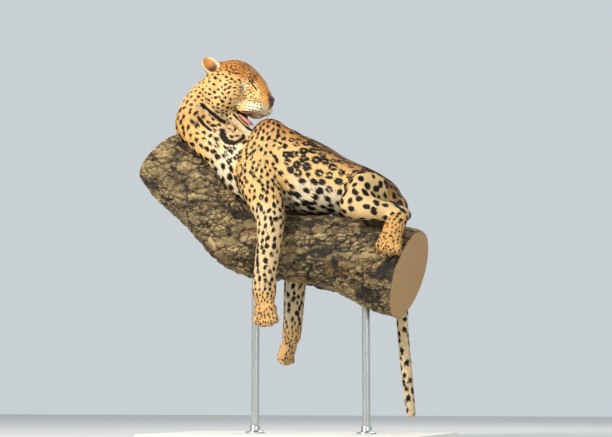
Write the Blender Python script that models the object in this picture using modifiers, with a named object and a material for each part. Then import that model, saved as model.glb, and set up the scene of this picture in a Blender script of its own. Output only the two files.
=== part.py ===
"""A leopard at rest astride a cut length of limb, life size, on a plain stand.

Metres, +Z up. The animal lies towards -X with its left side at -Y, and turns
its head back over its shoulder towards +X. The origin is the middle of the
underside of the base.
"""
import math

import bmesh
import bpy
import numpy as np
from mathutils import Matrix, Vector

# Gaps and mesh sizes
GAP = 0.0003
BODY_VOXEL = 0.006
HEAD_VOXEL = 0.0032
BODY_TRIANGLES = 5500
HEAD_TRIANGLES = 2600

# Stand
BASE_LENGTH = 1.00
BASE_WIDTH = 0.62
BASE_HEIGHT = 0.04
ROD_RADIUS = 0.014
ROD_X = (-0.17, 0.24)
ROD_TOP = 0.66

# Head
HEAD_ORIGIN = Vector((-0.2167, -0.030, 1.277))
HEAD_HEADING = Vector((0.907, -0.245, -0.341))
HEAD_ROLL = math.radians(8)
HEAD_SCALE = 1.12
EYE_CENTRE = (0.046, 0.0370, 0.0310)
EYE_RADIUS = 0.0125

# Perch: middle of the limb and its radius, from its high end to its low end
PERCH = [
    (-0.535, 0.000, 1.050, 0.125, 0.118),
    (-0.435, 0.000, 0.950, 0.132, 0.122),
    (-0.335, 0.000, 0.848, 0.136, 0.122),
    (-0.240, 0.000, 0.750, 0.134, 0.120),
    (-0.120, 0.000, 0.702, 0.134, 0.122),
    (0.010, 0.000, 0.692, 0.140, 0.128),
    (0.130, 0.000, 0.674, 0.150, 0.136),
    (0.240, 0.000, 0.643, 0.172, 0.150),
    (0.340, 0.000, 0.608, 0.196, 0.158),
    (0.400, 0.000, 0.588, 0.202, 0.160),
]

# Trunk: middle, half width and half depth, from the breast to the rump
TRUNK = [
    (-0.292, 0.000, 1.012, 0.082, 0.092),
    (-0.235, 0.000, 1.000, 0.108, 0.132),
    (-0.165, 0.000, 0.985, 0.124, 0.152),
    (-0.070, 0.000, 0.975, 0.132, 0.150),
    (0.040, 0.000, 0.945, 0.136, 0.132),
    (0.135, 0.000, 0.910, 0.128, 0.108),
    (0.225, 0.000, 0.880, 0.122, 0.096),
    (0.300, 0.000, 0.848, 0.104, 0.082),
    (0.336, 0.000, 0.825, 0.070, 0.060),
]

# Neck: middle, half width and half depth, from the shoulders to the skull
NECK = [
    (-0.215, 0.000, 1.010, 0.106, 0.122),
    (-0.295, 0.002, 1.064, 0.100, 0.106),
    (-0.366, 0.006, 1.108, 0.094, 0.096),
    (-0.402, 0.012, 1.166, 0.090, 0.088),
    (-0.386, 0.014, 1.218, 0.087, 0.084),
    (-0.340, 0.010, 1.266, 0.082, 0.080),
    (-0.286, 0.000, 1.294, 0.076, 0.076),
]
NECK_CUT = 4

# Tail: middle and half widths
TAIL = [
    (0.280, 0.000, 0.862, 0.040, 0.036),
    (0.326, 0.032, 0.828, 0.034, 0.032),
    (0.334, 0.095, 0.782, 0.029, 0.029),
    (0.334, 0.165, 0.712, 0.027, 0.027),
    (0.326, 0.206, 0.615, 0.026, 0.026),
    (0.317, 0.214, 0.500, 0.0250, 0.0250),
    (0.320, 0.208, 0.400, 0.0240, 0.0240),
    (0.331, 0.206, 0.280, 0.0235, 0.0235),
    (0.341, 0.205, 0.180, 0.0225, 0.0225),
    (0.349, 0.205, 0.108, 0.0195, 0.0195),
]

# Forelegs: middle, half size along X and half size along Y, downwards
FORELEG_LEFT = [
    (-0.108, -0.060, 1.085, 0.062, 0.045),
    (-0.122, -0.092, 1.010, 0.084, 0.052),
    (-0.114, -0.122, 0.930, 0.082, 0.054),
    (-0.082, -0.148, 0.855, 0.068, 0.052),
    (-0.056, -0.166, 0.785, 0.054, 0.048),
    (-0.055, -0.178, 0.710, 0.048, 0.043),
    (-0.063, -0.184, 0.630, 0.045, 0.039),
    (-0.069, -0.187, 0.560, 0.045, 0.035),
    (-0.070, -0.188, 0.520, 0.047, 0.033),
]
FORELEG_RIGHT = [
    (-0.105, 0.060, 1.050, 0.056, 0.044),
    (-0.125, 0.095, 0.970, 0.080, 0.052),
    (-0.122, 0.125, 0.880, 0.076, 0.054),
    (-0.100, 0.150, 0.790, 0.062, 0.052),
    (-0.080, 0.168, 0.700, 0.050, 0.047),
    (-0.080, 0.178, 0.610, 0.045, 0.043),
    (-0.086, 0.183, 0.520, 0.041, 0.041),
    (-0.091, 0.185, 0.440, 0.038, 0.039),
    (-0.096, 0.186, 0.390, 0.037, 0.041),
]

# Hind legs for the left side: thigh, shank and foot, half sizes side and up
THIGH = [
    (0.275, -0.070, 0.885, 0.060, 0.072),
    (0.262, -0.115, 0.862, 0.062, 0.076),
    (0.252, -0.148, 0.836, 0.050, 0.062),
    (0.245, -0.165, 0.812, 0.040, 0.046),
]
SHANK = [
    (0.240, -0.160, 0.815, 0.040, 0.046),
    (0.290, -0.160, 0.806, 0.040, 0.044),
    (0.340, -0.148, 0.798, 0.036, 0.038),
    (0.385, -0.126, 0.790, 0.030, 0.032),
    (0.410, -0.106, 0.786, 0.026, 0.028),
]
FOOT = [
    (0.400, -0.104, 0.792, 0.029, 0.028),
    (0.399, -0.138, 0.776, 0.034, 0.028),
    (0.394, -0.170, 0.750, 0.038, 0.029),
    (0.390, -0.192, 0.724, 0.040, 0.028),
]
RIGHT_LEG_SHIFT = -0.125


def new_collection(name):
    """A collection of that name in the scene."""
    group = bpy.data.collections.new(name)
    bpy.context.scene.collection.children.link(group)
    return group


def mesh_object(name, bm):
    """An object in the work collection from a bmesh, its faces facing out."""
    bmesh.ops.recalc_face_normals(bm, faces=bm.faces)
    mesh = bpy.data.meshes.new(name)
    bm.to_mesh(mesh)
    bm.free()
    obj = bpy.data.objects.new(name, mesh)
    WORK.objects.link(obj)
    return obj


def spline(rows, steps):
    """Rows of numbers on a smooth curve through the given rows."""
    rows = np.array(rows, float)
    first = 2 * rows[0] - rows[1]
    last = 2 * rows[-1] - rows[-2]
    padded = np.vstack([first, rows, last])
    out = []
    for i in range(1, len(padded) - 2):
        a, b, c, d = padded[i - 1:i + 3]
        for k in range(steps):
            t = k / steps
            out.append(0.5 * (2 * b + (c - a) * t + (2 * a - 5 * b + 4 * c - d) * t * t
                              + (3 * b - a - 3 * c + d) * t ** 3))
    out.append(rows[-1])
    return np.array(out)


def frames(centres, hint):
    """Tangent, side and up vectors along a row of centres."""
    rows = []
    slopes = np.gradient(centres, axis=0)
    for slope in slopes:
        tangent = Vector(slope).normalized()
        side = Vector(hint) - Vector(hint).dot(tangent) * tangent
        side.normalize()
        rows.append((tangent, side, tangent.cross(side)))
    return rows


def loft(name, stations, hint=(0, 1, 0), sides=22, steps=5, matrix=None, flat=False):
    """A closed body of oval rings along stations, with domed or flat ends."""
    rows = spline(stations, steps)
    axes = frames(rows[:, :3], hint)
    bm = bmesh.new()
    rings = []

    def add_ring(centre, side, up, half_side, half_up):
        ring = []
        for k in range(sides):
            turn = 2 * math.pi * k / sides
            point = centre + side * (half_side * math.cos(turn)) + up * (half_up * math.sin(turn))
            ring.append(bm.verts.new(point))
        rings.append(ring)

    def add_dome(index, sign, angles):
        tangent, side, up = axes[index]
        centre = Vector(rows[index][:3])
        half_side, half_up = rows[index][3:5]
        reach = min(half_side, half_up)
        for angle in angles:
            shift = tangent * (sign * reach * math.sin(angle))
            scale = math.cos(angle)
            add_ring(centre + shift, side, up, half_side * scale, half_up * scale)

    dome = [math.radians(a) for a in (22, 45, 66, 82)]
    if not flat:
        add_dome(0, -1, dome[::-1])
    for row, (tangent, side, up) in zip(rows, axes):
        add_ring(Vector(row[:3]), side, up, row[3], row[4])
    if not flat:
        add_dome(len(rows) - 1, 1, dome)
    for low, high in zip(rings, rings[1:]):
        for k in range(sides):
            after = (k + 1) % sides
            bm.faces.new((low[k], low[after], high[after], high[k]))
    bm.faces.new(rings[0])
    bm.faces.new(rings[-1])
    if matrix is not None:
        bm.transform(matrix)
    return mesh_object(name, bm)


def ball(name, centre, radii, matrix=None, turn=None, segments=20, rings=14):
    """An ellipsoid, optionally turned about its middle and put in a frame."""
    place = Matrix.Translation(Vector(centre))
    if turn is not None:
        place = place @ turn
    place = place @ Matrix.Diagonal((radii[0], radii[1], radii[2], 1.0))
    if matrix is not None:
        place = matrix @ place
    bm = bmesh.new()
    bmesh.ops.create_uvsphere(bm, u_segments=segments, v_segments=rings, radius=1.0, matrix=place)
    return mesh_object(name, bm)


def block(name, size, matrix):
    """A box of that size in a frame, its near face on the frame's YZ plane."""
    place = matrix @ Matrix.Translation((size[0] / 2, 0, 0))
    place = place @ Matrix.Diagonal((size[0], size[1], size[2], 1.0))
    bm = bmesh.new()
    bmesh.ops.create_cube(bm, size=1.0, matrix=place)
    return mesh_object(name, bm)


def frame(origin, forward, up=(0, 0, 1), roll=0.0):
    """A frame with X forward, Z up and Y to the left, rolled about X."""
    x_axis = Vector(forward).normalized()
    z_axis = Vector(up) - Vector(up).dot(x_axis) * x_axis
    z_axis.normalize()
    y_axis = z_axis.cross(x_axis)
    left = y_axis * math.cos(roll) - z_axis * math.sin(roll)
    top = z_axis * math.cos(roll) + y_axis * math.sin(roll)
    matrix = Matrix((x_axis, left, top)).transposed().to_4x4()
    matrix.translation = Vector(origin)
    return matrix


def settle(obj):
    """Replaces an object's mesh by its evaluated one and drops its modifiers."""
    graph = bpy.context.evaluated_depsgraph_get()
    graph.update()
    mesh = bpy.data.meshes.new_from_object(obj.evaluated_get(graph))
    obj.modifiers.clear()
    old = obj.data
    obj.data = mesh
    bpy.data.meshes.remove(old)
    return obj


def remove(*objects):
    """Removes helper objects."""
    for obj in objects:
        bpy.data.objects.remove(obj)


def copy_of(obj, name):
    """A second object with its own mesh."""
    twin = bpy.data.objects.new(name, obj.data.copy())
    WORK.objects.link(twin)
    return twin


def fused(name, pieces, voxel, smooth, triangles):
    """One smooth closed body from overlapping pieces."""
    bm = bmesh.new()
    for piece in pieces:
        bm.from_mesh(piece.data)
    remove(*pieces)
    whole = mesh_object(name, bm)
    remesh = whole.modifiers.new("Fuse", "REMESH")
    remesh.mode = "VOXEL"
    remesh.voxel_size = voxel
    soften = whole.modifiers.new("Soften", "SMOOTH")
    soften.factor = 0.5
    soften.iterations = smooth
    settle(whole)
    thin = whole.modifiers.new("Thin", "DECIMATE")
    thin.ratio = min(1.0, triangles / (2.0 * len(whole.data.polygons)))
    return settle(whole)


def boolean(obj, other, operation):
    """Applies one Boolean with the other object."""
    step = obj.modifiers.new("Cut", "BOOLEAN")
    step.object = other
    step.operation = operation
    step.solver = "EXACT"
    return settle(obj)


def grown(obj, distance):
    """A copy of an object with its surface moved out by a distance."""
    twin = copy_of(obj, obj.name + "_grown")
    bm = bmesh.new()
    bm.from_mesh(twin.data)
    bm.normal_update()
    moves = [(vert, vert.co + vert.normal * distance) for vert in bm.verts]
    for vert, place in moves:
        vert.co = place
    bm.to_mesh(twin.data)
    bm.free()
    return twin


def room_for(obj, distance, voxel, triangles):
    """A clean closed body that holds an object with a clear distance all round."""
    twin = grown(obj, distance)
    return fused(obj.name + "_space", [twin], voxel, 0, triangles)


def keep_largest(obj):
    """Keeps the largest connected surface of an object."""
    bm = bmesh.new()
    bm.from_mesh(obj.data)
    left = set(bm.verts)
    groups = []
    while left:
        seed = left.pop()
        group = {seed}
        stack = [seed]
        while stack:
            vert = stack.pop()
            for edge in vert.link_edges:
                other = edge.other_vert(vert)
                if other in left:
                    left.discard(other)
                    group.add(other)
                    stack.append(other)
        groups.append(group)
    groups.sort(key=len)
    loose = [vert for group in groups[:-1] for vert in group]
    if loose:
        bmesh.ops.delete(bm, geom=loose, context="VERTS")
        bm.to_mesh(obj.data)
    bm.free()
    return obj


def split(whole, name, size, matrix):
    """Takes the piece inside a box off the whole and leaves a gap."""
    piece = copy_of(whole, name)
    inner = block(name + "_box", size, matrix)
    boolean(piece, inner, "INTERSECT")
    keep_largest(piece)
    size_out = (size[0] + 2 * GAP, size[1] + 2 * GAP, size[2] + 2 * GAP)
    outer = block(name + "_room", size_out, matrix @ Matrix.Translation((-GAP, 0, 0)))
    boolean(whole, outer, "DIFFERENCE")
    keep_largest(whole)
    remove(inner, outer)
    return piece


def material(name, colour, roughness, metallic=0.0):
    """A plain material."""
    mat = bpy.data.materials.new(name)
    mat.use_nodes = True
    shader = mat.node_tree.nodes["Principled BSDF"]
    shader.inputs["Base Color"].default_value = (*colour, 1.0)
    shader.inputs["Roughness"].default_value = roughness
    shader.inputs["Metallic"].default_value = metallic
    mat.diffuse_color = (*colour, 1.0)
    return mat


def finish(obj, mat, smooth=True):
    """Moves a finished object to the model, with its material."""
    obj.data.materials.clear()
    obj.data.materials.append(mat)
    if smooth:
        obj.data.shade_smooth()
        obj.data.set_sharp_from_angle(angle=math.radians(40))
    WORK.objects.unlink(obj)
    MODEL.objects.link(obj)
    return obj


def paw(name, matrix, length, width, curl):
    """Balls for a paw: X towards the toes, Z to its back, Y across."""
    pieces = [
        ball(name + "_palm", (0.42 * length, 0, -0.004), (0.34 * length, 0.46 * width, 0.027), matrix),
        ball(name + "_pad", (0.50 * length, 0, -0.020), (0.20 * length, 0.30 * width, 0.014), matrix),
        ball(name + "_wrist", (0.06 * length, 0, 0.0), (0.28 * length, 0.38 * width, 0.029), matrix),
    ]
    for k, across in enumerate((-0.36, -0.13, 0.13, 0.36)):
        reach = 0.83 if abs(across) < 0.2 else 0.74
        spread = Matrix.Rotation(across * 0.35, 4, "Z") @ Matrix.Rotation(curl, 4, "Y")
        centre = (reach * length, across * width, -0.006)
        toe = (0.19 * length, 0.150 * width, 0.0195)
        pieces.append(ball(name + "_toe" + str(k), centre, toe, matrix, spread))
        pad = (centre[0] + 0.01 * length, centre[1], -0.019)
        pieces.append(ball(name + "_tip" + str(k), pad, (0.020, 0.0105, 0.009), matrix, spread))
    return pieces


def mirrored(stations, shift):
    """The stations of the other side of the body, moved along it."""
    return [(x + shift, -y, z, a, b) for x, y, z, a, b in stations]


def perch_mesh():
    """The cut limb: ribbed bark, with flat ends."""
    limb = loft("perch", PERCH, hint=(0, 1, 0), sides=28, steps=3, flat=True)
    bm = bmesh.new()
    bm.from_mesh(limb.data)
    bm.normal_update()
    ends = set()
    for face in bm.faces:
        if len(face.verts) > 4:
            ends.update(face.verts)
    for vert in bm.verts:
        if vert in ends:
            continue
        x, y, z = vert.co
        turn = math.atan2(y, z - 0.7)
        swell = 0.004 * math.sin(9 * turn + 7 * x) + 0.004 * math.sin(5 * turn - 13 * x + 1.0)
        swell += 0.003 * math.sin(31 * x + 2 * turn)
        vert.co = vert.co + vert.normal * swell
    bmesh.ops.triangulate(bm, faces=bm.faces)
    bm.to_mesh(limb.data)
    bm.free()
    return limb


# Start from an empty scene
for old in list(bpy.data.objects):
    bpy.data.objects.remove(old)
MODEL = new_collection("leopard")
WORK = new_collection("cutters")

fur_gold = material("fur_gold", (0.62, 0.40, 0.18), 0.75)
fur_pale = material("fur_pale", (0.78, 0.66, 0.48), 0.78)
tongue_pink = material("tongue_pink", (0.72, 0.32, 0.30), 0.45)
eye_amber = material("eye_amber", (0.30, 0.22, 0.07), 0.12)
bark = material("bark", (0.25, 0.19, 0.13), 0.90)
painted = material("painted_wood", (0.80, 0.79, 0.76), 0.55)
steel = material("steel", (0.62, 0.62, 0.62), 0.35, 1.0)

# Perch and stand
perch = perch_mesh()
rods = []
for number, rod_x in enumerate(ROD_X):
    rod_bm = bmesh.new()
    rod_height = ROD_TOP - BASE_HEIGHT - GAP
    place = Matrix.Translation((rod_x, 0, BASE_HEIGHT + GAP + rod_height / 2))
    bmesh.ops.create_cone(rod_bm, cap_ends=True, segments=32, radius1=ROD_RADIUS,
                          radius2=ROD_RADIUS, depth=rod_height, matrix=place)
    rods.append(mesh_object("stand_rod_" + str(number + 1), rod_bm))
perch_room = grown(perch, GAP)
for rod in rods:
    boolean(rod, perch_room, "DIFFERENCE")
    keep_largest(rod)
base_bm = bmesh.new()
base_place = Matrix.Translation((0, 0, BASE_HEIGHT / 2))
base_place = base_place @ Matrix.Diagonal((BASE_LENGTH, BASE_WIDTH, BASE_HEIGHT, 1.0))
bmesh.ops.create_cube(base_bm, size=1.0, matrix=base_place)
bmesh.ops.bevel(base_bm, geom=base_bm.edges[:], offset=0.004, segments=2, affect="EDGES")
base = mesh_object("stand_base", base_bm)

# Body without head and tail: trunk, neck, shoulders, haunches, legs and paws
pieces = [
    loft("trunk", TRUNK, sides=28),
    loft("neck", NECK, sides=24),
    loft("arm_left", FORELEG_LEFT, hint=(1, 0, 0)),
    loft("arm_right", FORELEG_RIGHT, hint=(1, 0, 0)),
    ball("withers", (-0.085, 0.000, 1.075), (0.105, 0.062, 0.062)),
    ball("blade_left", (-0.098, -0.060, 1.090), (0.074, 0.044, 0.070)),
    ball("blade_edge", (-0.050, -0.050, 1.070), (0.060, 0.040, 0.060)),
    ball("blade_right", (-0.100, 0.062, 1.060), (0.062, 0.042, 0.072)),
    ball("breast", (-0.235, 0.000, 0.930), (0.060, 0.090, 0.080)),
    ball("belly", (0.060, 0.000, 0.870), (0.130, 0.115, 0.065)),
]
pieces += paw("forepaw_left", frame((-0.070, -0.188, 0.512), (0.02, -0.02, -1), (-0.30, -1, 0)),
              0.106, 0.106, 0.30)
pieces += paw("forepaw_right", frame((-0.098, 0.186, 0.388), (-0.38, 0.04, -1), (-1, 0.25, 0)),
              0.108, 0.096, 0.35)
for side, flip in (("left", False), ("right", True)):
    for label, stations, hint in (("thigh", THIGH, (1, 0, 0)), ("shank", SHANK, (0, 1, 0)),
                                  ("foot", FOOT, (1, 0, 0))):
        rows = mirrored(stations, RIGHT_LEG_SHIFT) if flip else stations
        pieces.append(loft(label + "_" + side, rows, hint=hint))
    y = 1 if flip else -1
    x = RIGHT_LEG_SHIFT if flip else 0.0
    toes = frame((0.390 + x, y * 0.190, 0.724), (-0.08, y * 0.30, -0.52), (0.2, y * 1.0, 0.5))
    pieces += paw("hindpaw_" + side, toes, 0.090, 0.098, 0.25)
    pieces.append(ball("haunch_" + side, (0.262 + 0.5 * x, y * 0.085, 0.880), (0.088, 0.060, 0.074)))
    pieces.append(ball("knee_" + side, (0.228 + x, y * 0.160, 0.822), (0.038, 0.036, 0.048)))
body = fused("torso", pieces, BODY_VOXEL, 5, BODY_TRIANGLES)
boolean(body, perch_room, "DIFFERENCE")
keep_largest(body)
tail = fused("tail", [loft("tail_rod", TAIL, hint=(1, 0, 0), sides=18)], 0.006, 2, 560)
boolean(tail, perch_room, "DIFFERENCE")
keep_largest(tail)
tail_room = grown(tail, GAP)
boolean(body, tail_room, "DIFFERENCE")
keep_largest(body)
remove(tail_room)

# Head in its own frame: X to the nose, Y to its left, Z to its crown
HEAD = frame(HEAD_ORIGIN, HEAD_HEADING, roll=HEAD_ROLL) @ Matrix.Scale(HEAD_SCALE, 4)
SKULL = [
    (-0.088, 0, 0.020, 0.064, 0.056),
    (-0.060, 0, 0.016, 0.076, 0.072),
    (-0.022, 0, 0.011, 0.079, 0.078),
    (0.015, 0, 0.006, 0.069, 0.071),
    (0.045, 0, 0.001, 0.054, 0.060),
    (0.072, 0, -0.008, 0.043, 0.049),
    (0.094, 0, -0.014, 0.037, 0.040),
    (0.106, 0, -0.018, 0.030, 0.032),
]
JAW = [
    (-0.045, 0, -0.058, 0.050, 0.040),
    (-0.005, 0, -0.078, 0.044, 0.032),
    (0.032, 0, -0.100, 0.035, 0.024),
    (0.066, 0, -0.117, 0.028, 0.018),
    (0.086, 0, -0.124, 0.024, 0.015),
]
TONGUE = [
    (0.020, 0.000, -0.070, 0.019, 0.008),
    (0.055, -0.002, -0.087, 0.020, 0.007),
    (0.083, -0.008, -0.095, 0.019, 0.006),
    (0.100, -0.013, -0.098, 0.015, 0.005),
]
EAR_ROOT = (-0.083, 0.058, 0.026)
EAR_AXIS = (-0.86, 0.22, 0.46)
EAR_OPENING = (0.30, 0.86, 0.40)
pieces = [
    loft("skull", SKULL, sides=28, matrix=HEAD),
    loft("jaw", JAW, sides=20, matrix=HEAD),
    loft("nape", NECK[2:], sides=24),
    ball("crown", (-0.035, 0, 0.040), (0.080, 0.062, 0.052), HEAD),
    ball("bridge", (0.078, 0, 0.022), (0.050, 0.021, 0.016), HEAD,
         Matrix.Rotation(math.radians(31), 4, "Y")),
    ball("nose", (0.122, 0, -0.003), (0.013, 0.0190, 0.014), HEAD),
    ball("chin", (0.088, 0, -0.126), (0.021, 0.022, 0.015), HEAD),
    ball("throat", (-0.048, 0, -0.078), (0.070, 0.054, 0.052), HEAD,
         Matrix.Rotation(math.radians(30), 4, "Y")),
]
for y in (-1, 1):
    pieces += [
        ball("cheek", (-0.004, y * 0.047, -0.016), (0.058, 0.038, 0.048), HEAD),
        ball("jowl", (-0.022, y * 0.046, -0.052), (0.050, 0.036, 0.046), HEAD),
        ball("ruff", (-0.056, y * 0.052, -0.022), (0.046, 0.040, 0.062), HEAD),
        ball("brow", (0.040, y * 0.030, 0.046), (0.030, 0.021, 0.014), HEAD,
             Matrix.Rotation(math.radians(28), 4, "Y")),
        ball("lip", (0.098, y * 0.022, -0.036), (0.030, 0.022, 0.024), HEAD),
        ball("flews", (0.066, y * 0.032, -0.052), (0.038, 0.016, 0.023), HEAD,
             Matrix.Rotation(math.radians(-12), 4, "Y")),
        ball("lid", (EYE_CENTRE[0], y * EYE_CENTRE[1], EYE_CENTRE[2]),
             (EYE_RADIUS * 1.30, EYE_RADIUS * 1.20, EYE_RADIUS * 1.20), HEAD),
    ]
head = fused("head", pieces, HEAD_VOXEL, 3, HEAD_TRIANGLES)

# Neck and head meet at a plane across the neck, and the throat rests on the neck
cut_row = NECK[NECK_CUT]
cut_ahead = Vector(NECK[NECK_CUT + 1][:3]) - Vector(NECK[NECK_CUT - 1][:3])
cut_frame = frame(cut_row[:3], cut_ahead, up=(0, 1, 0))
far_side = block("head_side", (0.60, 0.60, 0.60), cut_frame)
boolean(head, far_side, "INTERSECT")
keep_largest(head)
near_side = block("neck_side", (0.30, 0.32, 0.32), cut_frame @ Matrix.Translation((-GAP, 0, 0)))
boolean(body, near_side, "DIFFERENCE")
head_room = room_for(head, 0.0015, 0.004, 6000)
boolean(body, head_room, "DIFFERENCE")
keep_largest(body)
remove(far_side, near_side, head_room)

# Nostrils
for y in (-1, 1):
    hole = ball("nostril", (0.131, y * 0.0085, -0.006), (0.010, 0.0040, 0.0032), HEAD,
                Matrix.Rotation(y * math.radians(28), 4, "Z"), 12, 8)
    boolean(head, hole, "DIFFERENCE")
    remove(hole)

# Eyes, each seen through a slit between its lids
eyes = []
for label, y in (("eye_right", -1), ("eye_left", 1)):
    centre = (EYE_CENTRE[0], y * EYE_CENTRE[1], EYE_CENTRE[2])
    room = ball("room", centre, (EYE_RADIUS + GAP,) * 3, HEAD, None, 16, 10)
    boolean(head, room, "DIFFERENCE")
    outward = Matrix.Rotation(y * math.radians(52), 4, "Z") @ Matrix.Rotation(math.radians(12), 4, "Y")
    slit = ball("slit", centre, (EYE_RADIUS * 2.2, EYE_RADIUS * 0.95, EYE_RADIUS * 0.30), HEAD, outward)
    boolean(head, slit, "DIFFERENCE")
    remove(room, slit)
    eyes.append(ball(label, centre, (EYE_RADIUS,) * 3, HEAD, None, 16, 10))
keep_largest(head)

# Ears: cupped shells that stand on the head
ears = []
for label, y in (("ear_right", -1), ("ear_left", 1)):
    axis = (EAR_AXIS[0], y * EAR_AXIS[1], EAR_AXIS[2])
    opening = (EAR_OPENING[0], y * EAR_OPENING[1], EAR_OPENING[2])
    flat_side = Vector(opening) - Vector(opening).project(Vector(axis))
    root = HEAD @ frame((EAR_ROOT[0], y * EAR_ROOT[1], EAR_ROOT[2]), flat_side, up=axis)
    shell = ball(label, (0, 0, 0.022), (0.021, 0.029, 0.044), root, None, 14, 10)
    room = ball("room", (0, 0, 0.022), (0.021 + GAP, 0.029 + GAP, 0.044 + GAP), root, None, 14, 10)
    boolean(head, room, "DIFFERENCE")
    cup = ball("cup", (0.0155, 0, 0.026), (0.022, 0.0240, 0.0375), root, None, 14, 10)
    boolean(shell, cup, "DIFFERENCE")
    keep_largest(shell)
    remove(cup, room)
    ears.append(shell)
keep_largest(head)

# Jaw and tongue
jaw_frame = HEAD @ Matrix.Translation((0.020, 0, -0.074)) @ Matrix.Rotation(math.radians(20), 4, "Y")
jaw = split(head, "jaw", (0.14, 0.11, 0.09), jaw_frame @ Matrix.Translation((0, 0, -0.045)))
tongue = loft("tongue", TONGUE, sides=12, steps=2, matrix=HEAD)
tongue_room = grown(tongue, GAP)
for flesh in (head, jaw, body):
    boolean(flesh, tongue_room, "DIFFERENCE")
    keep_largest(flesh)
remove(tongue_room)

# Neck and legs come off the body along thin plane cuts
neck_frame = frame((-0.262, 0.0, 1.048), (-0.72, 0.0, 0.69), up=(0, 1, 0))
neck = split(body, "neck", (0.30, 0.26, 0.30), neck_frame)
foreleg_left = split(body, "foreleg_left", (0.50, 0.16, 0.24),
                     frame((-0.085, -0.185, 0.850), (0.10, -0.10, -1), up=(1, 0, 0)))
foreleg_right = split(body, "foreleg_right", (0.60, 0.16, 0.24),
                      frame((-0.095, 0.190, 0.800), (0.05, 0.10, -1), up=(1, 0, 0)))
hindleg_left = split(body, "hindleg_left", (0.26, 0.40, 0.44),
                     frame((0.310, -0.092, 0.790), (0.45, -1, -0.10), up=(0, 0, 1)))
hindleg_right = split(body, "hindleg_right", (0.26, 0.40, 0.44),
                      frame((0.215, 0.092, 0.790), (0.45, 1, -0.10), up=(0, 0, 1)))

# The finished model
for piece in (body, neck, head, jaw, tail, *ears):
    finish(piece, fur_gold)
for piece in (foreleg_left, foreleg_right, hindleg_left, hindleg_right):
    finish(piece, fur_pale)
for piece in eyes:
    finish(piece, eye_amber)
finish(tongue, tongue_pink)
finish(perch, bark)
finish(base, painted, smooth=False)
for rod in rods:
    finish(rod, steel)
remove(perch_room)
for left_over in list(WORK.objects):
    bpy.data.objects.remove(left_over)
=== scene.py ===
"""A leopard lying astride a cut limb: its skin, coat, face, the limb and the stand.

Metres, +Z up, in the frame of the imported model. The animal lies towards -X
with its left side at -Y, and its head is turned back towards +X.
"""
import math

import bmesh
import bpy
import numpy as np
from mathutils import Matrix, Vector
from mathutils.bvhtree import BVHTree
from mathutils.kdtree import KDTree


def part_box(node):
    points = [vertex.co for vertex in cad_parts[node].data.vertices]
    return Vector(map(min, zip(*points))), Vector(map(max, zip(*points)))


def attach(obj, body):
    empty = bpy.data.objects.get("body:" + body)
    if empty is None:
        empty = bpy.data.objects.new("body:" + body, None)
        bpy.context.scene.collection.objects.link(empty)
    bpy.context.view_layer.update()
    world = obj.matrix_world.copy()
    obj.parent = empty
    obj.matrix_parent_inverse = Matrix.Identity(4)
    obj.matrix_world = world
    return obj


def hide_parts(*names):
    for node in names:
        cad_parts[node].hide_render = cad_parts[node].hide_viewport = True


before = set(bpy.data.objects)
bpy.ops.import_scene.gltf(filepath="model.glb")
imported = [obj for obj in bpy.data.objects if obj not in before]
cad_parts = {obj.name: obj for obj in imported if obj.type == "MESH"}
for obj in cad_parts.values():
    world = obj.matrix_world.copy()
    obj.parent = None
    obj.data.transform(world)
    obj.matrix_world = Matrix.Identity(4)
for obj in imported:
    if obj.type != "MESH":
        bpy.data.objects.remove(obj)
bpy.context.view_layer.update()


# Skin
# One closed skin over the whole animal, grown from the carved body and softened,
# then drawn in by the depth of the coat that stands on it.
FLESH = ("head", "jaw", "neck", "torso", "tail", "foreleg_left", "foreleg_right",
         "hindleg_left", "hindleg_right", "ear_left", "ear_right")
SEAM_GROWTH = 0.0008
FOLD_PLACE = (-0.257, -0.019, 1.143)
FOLD_SIZE = 0.027
SKIN_VOXEL = 0.0032
SKIN_FACES = 76000
HEAD_ORIGIN = Vector((-0.2167, -0.030, 1.277))
HEAD_HEADING = Vector((0.907, -0.245, -0.341))
HEAD_ROLL = math.radians(8)
HEAD_SCALE = 1.12
EYE_CENTRE = (0.046, 0.0370, 0.0310)
EYE_RADIUS = 0.0125
EYE_DETAIL = 0.024


def frame_along(origin, forward, up=(0, 0, 1), roll=0.0):
    """A frame with X forward, Z up and Y to the left, rolled about X."""
    x_axis = Vector(forward).normalized()
    z_axis = Vector(up) - Vector(up).dot(x_axis) * x_axis
    z_axis.normalize()
    y_axis = z_axis.cross(x_axis)
    left = y_axis * math.cos(roll) - z_axis * math.sin(roll)
    top = z_axis * math.cos(roll) + y_axis * math.sin(roll)
    matrix = Matrix((x_axis, left, top)).transposed().to_4x4()
    matrix.translation = Vector(origin)
    return matrix


HEAD = frame_along(HEAD_ORIGIN, HEAD_HEADING, roll=HEAD_ROLL) @ Matrix.Scale(HEAD_SCALE, 4)


def shown(name, mesh):
    """An object with that mesh, linked to the scene."""
    obj = bpy.data.objects.new(name, mesh)
    bpy.context.scene.collection.objects.link(obj)
    return obj


def mesh_from(bm, name):
    """A new mesh from a bmesh, which is freed."""
    mesh = bpy.data.meshes.new(name)
    bm.to_mesh(mesh)
    bm.free()
    return mesh


def welded(node):
    """A copy of a node's mesh with its loose corners merged."""
    bm = bmesh.new()
    bm.from_mesh(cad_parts[node].data)
    bmesh.ops.remove_doubles(bm, verts=bm.verts, dist=1e-5)
    bm.normal_update()
    return bm


def settled(obj):
    """Replaces an object's mesh by its evaluated one and drops its modifiers."""
    graph = bpy.context.evaluated_depsgraph_get()
    graph.update()
    mesh = bpy.data.meshes.new_from_object(obj.evaluated_get(graph))
    obj.modifiers.clear()
    old = obj.data
    obj.data = mesh
    bpy.data.meshes.remove(old)
    return obj


def remeshed(obj, voxel):
    """Gives an object one even closed mesh with cells of that size."""
    fuse = obj.modifiers.new("Fuse", "REMESH")
    fuse.mode = "VOXEL"
    fuse.voxel_size = voxel
    settled(obj)


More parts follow.
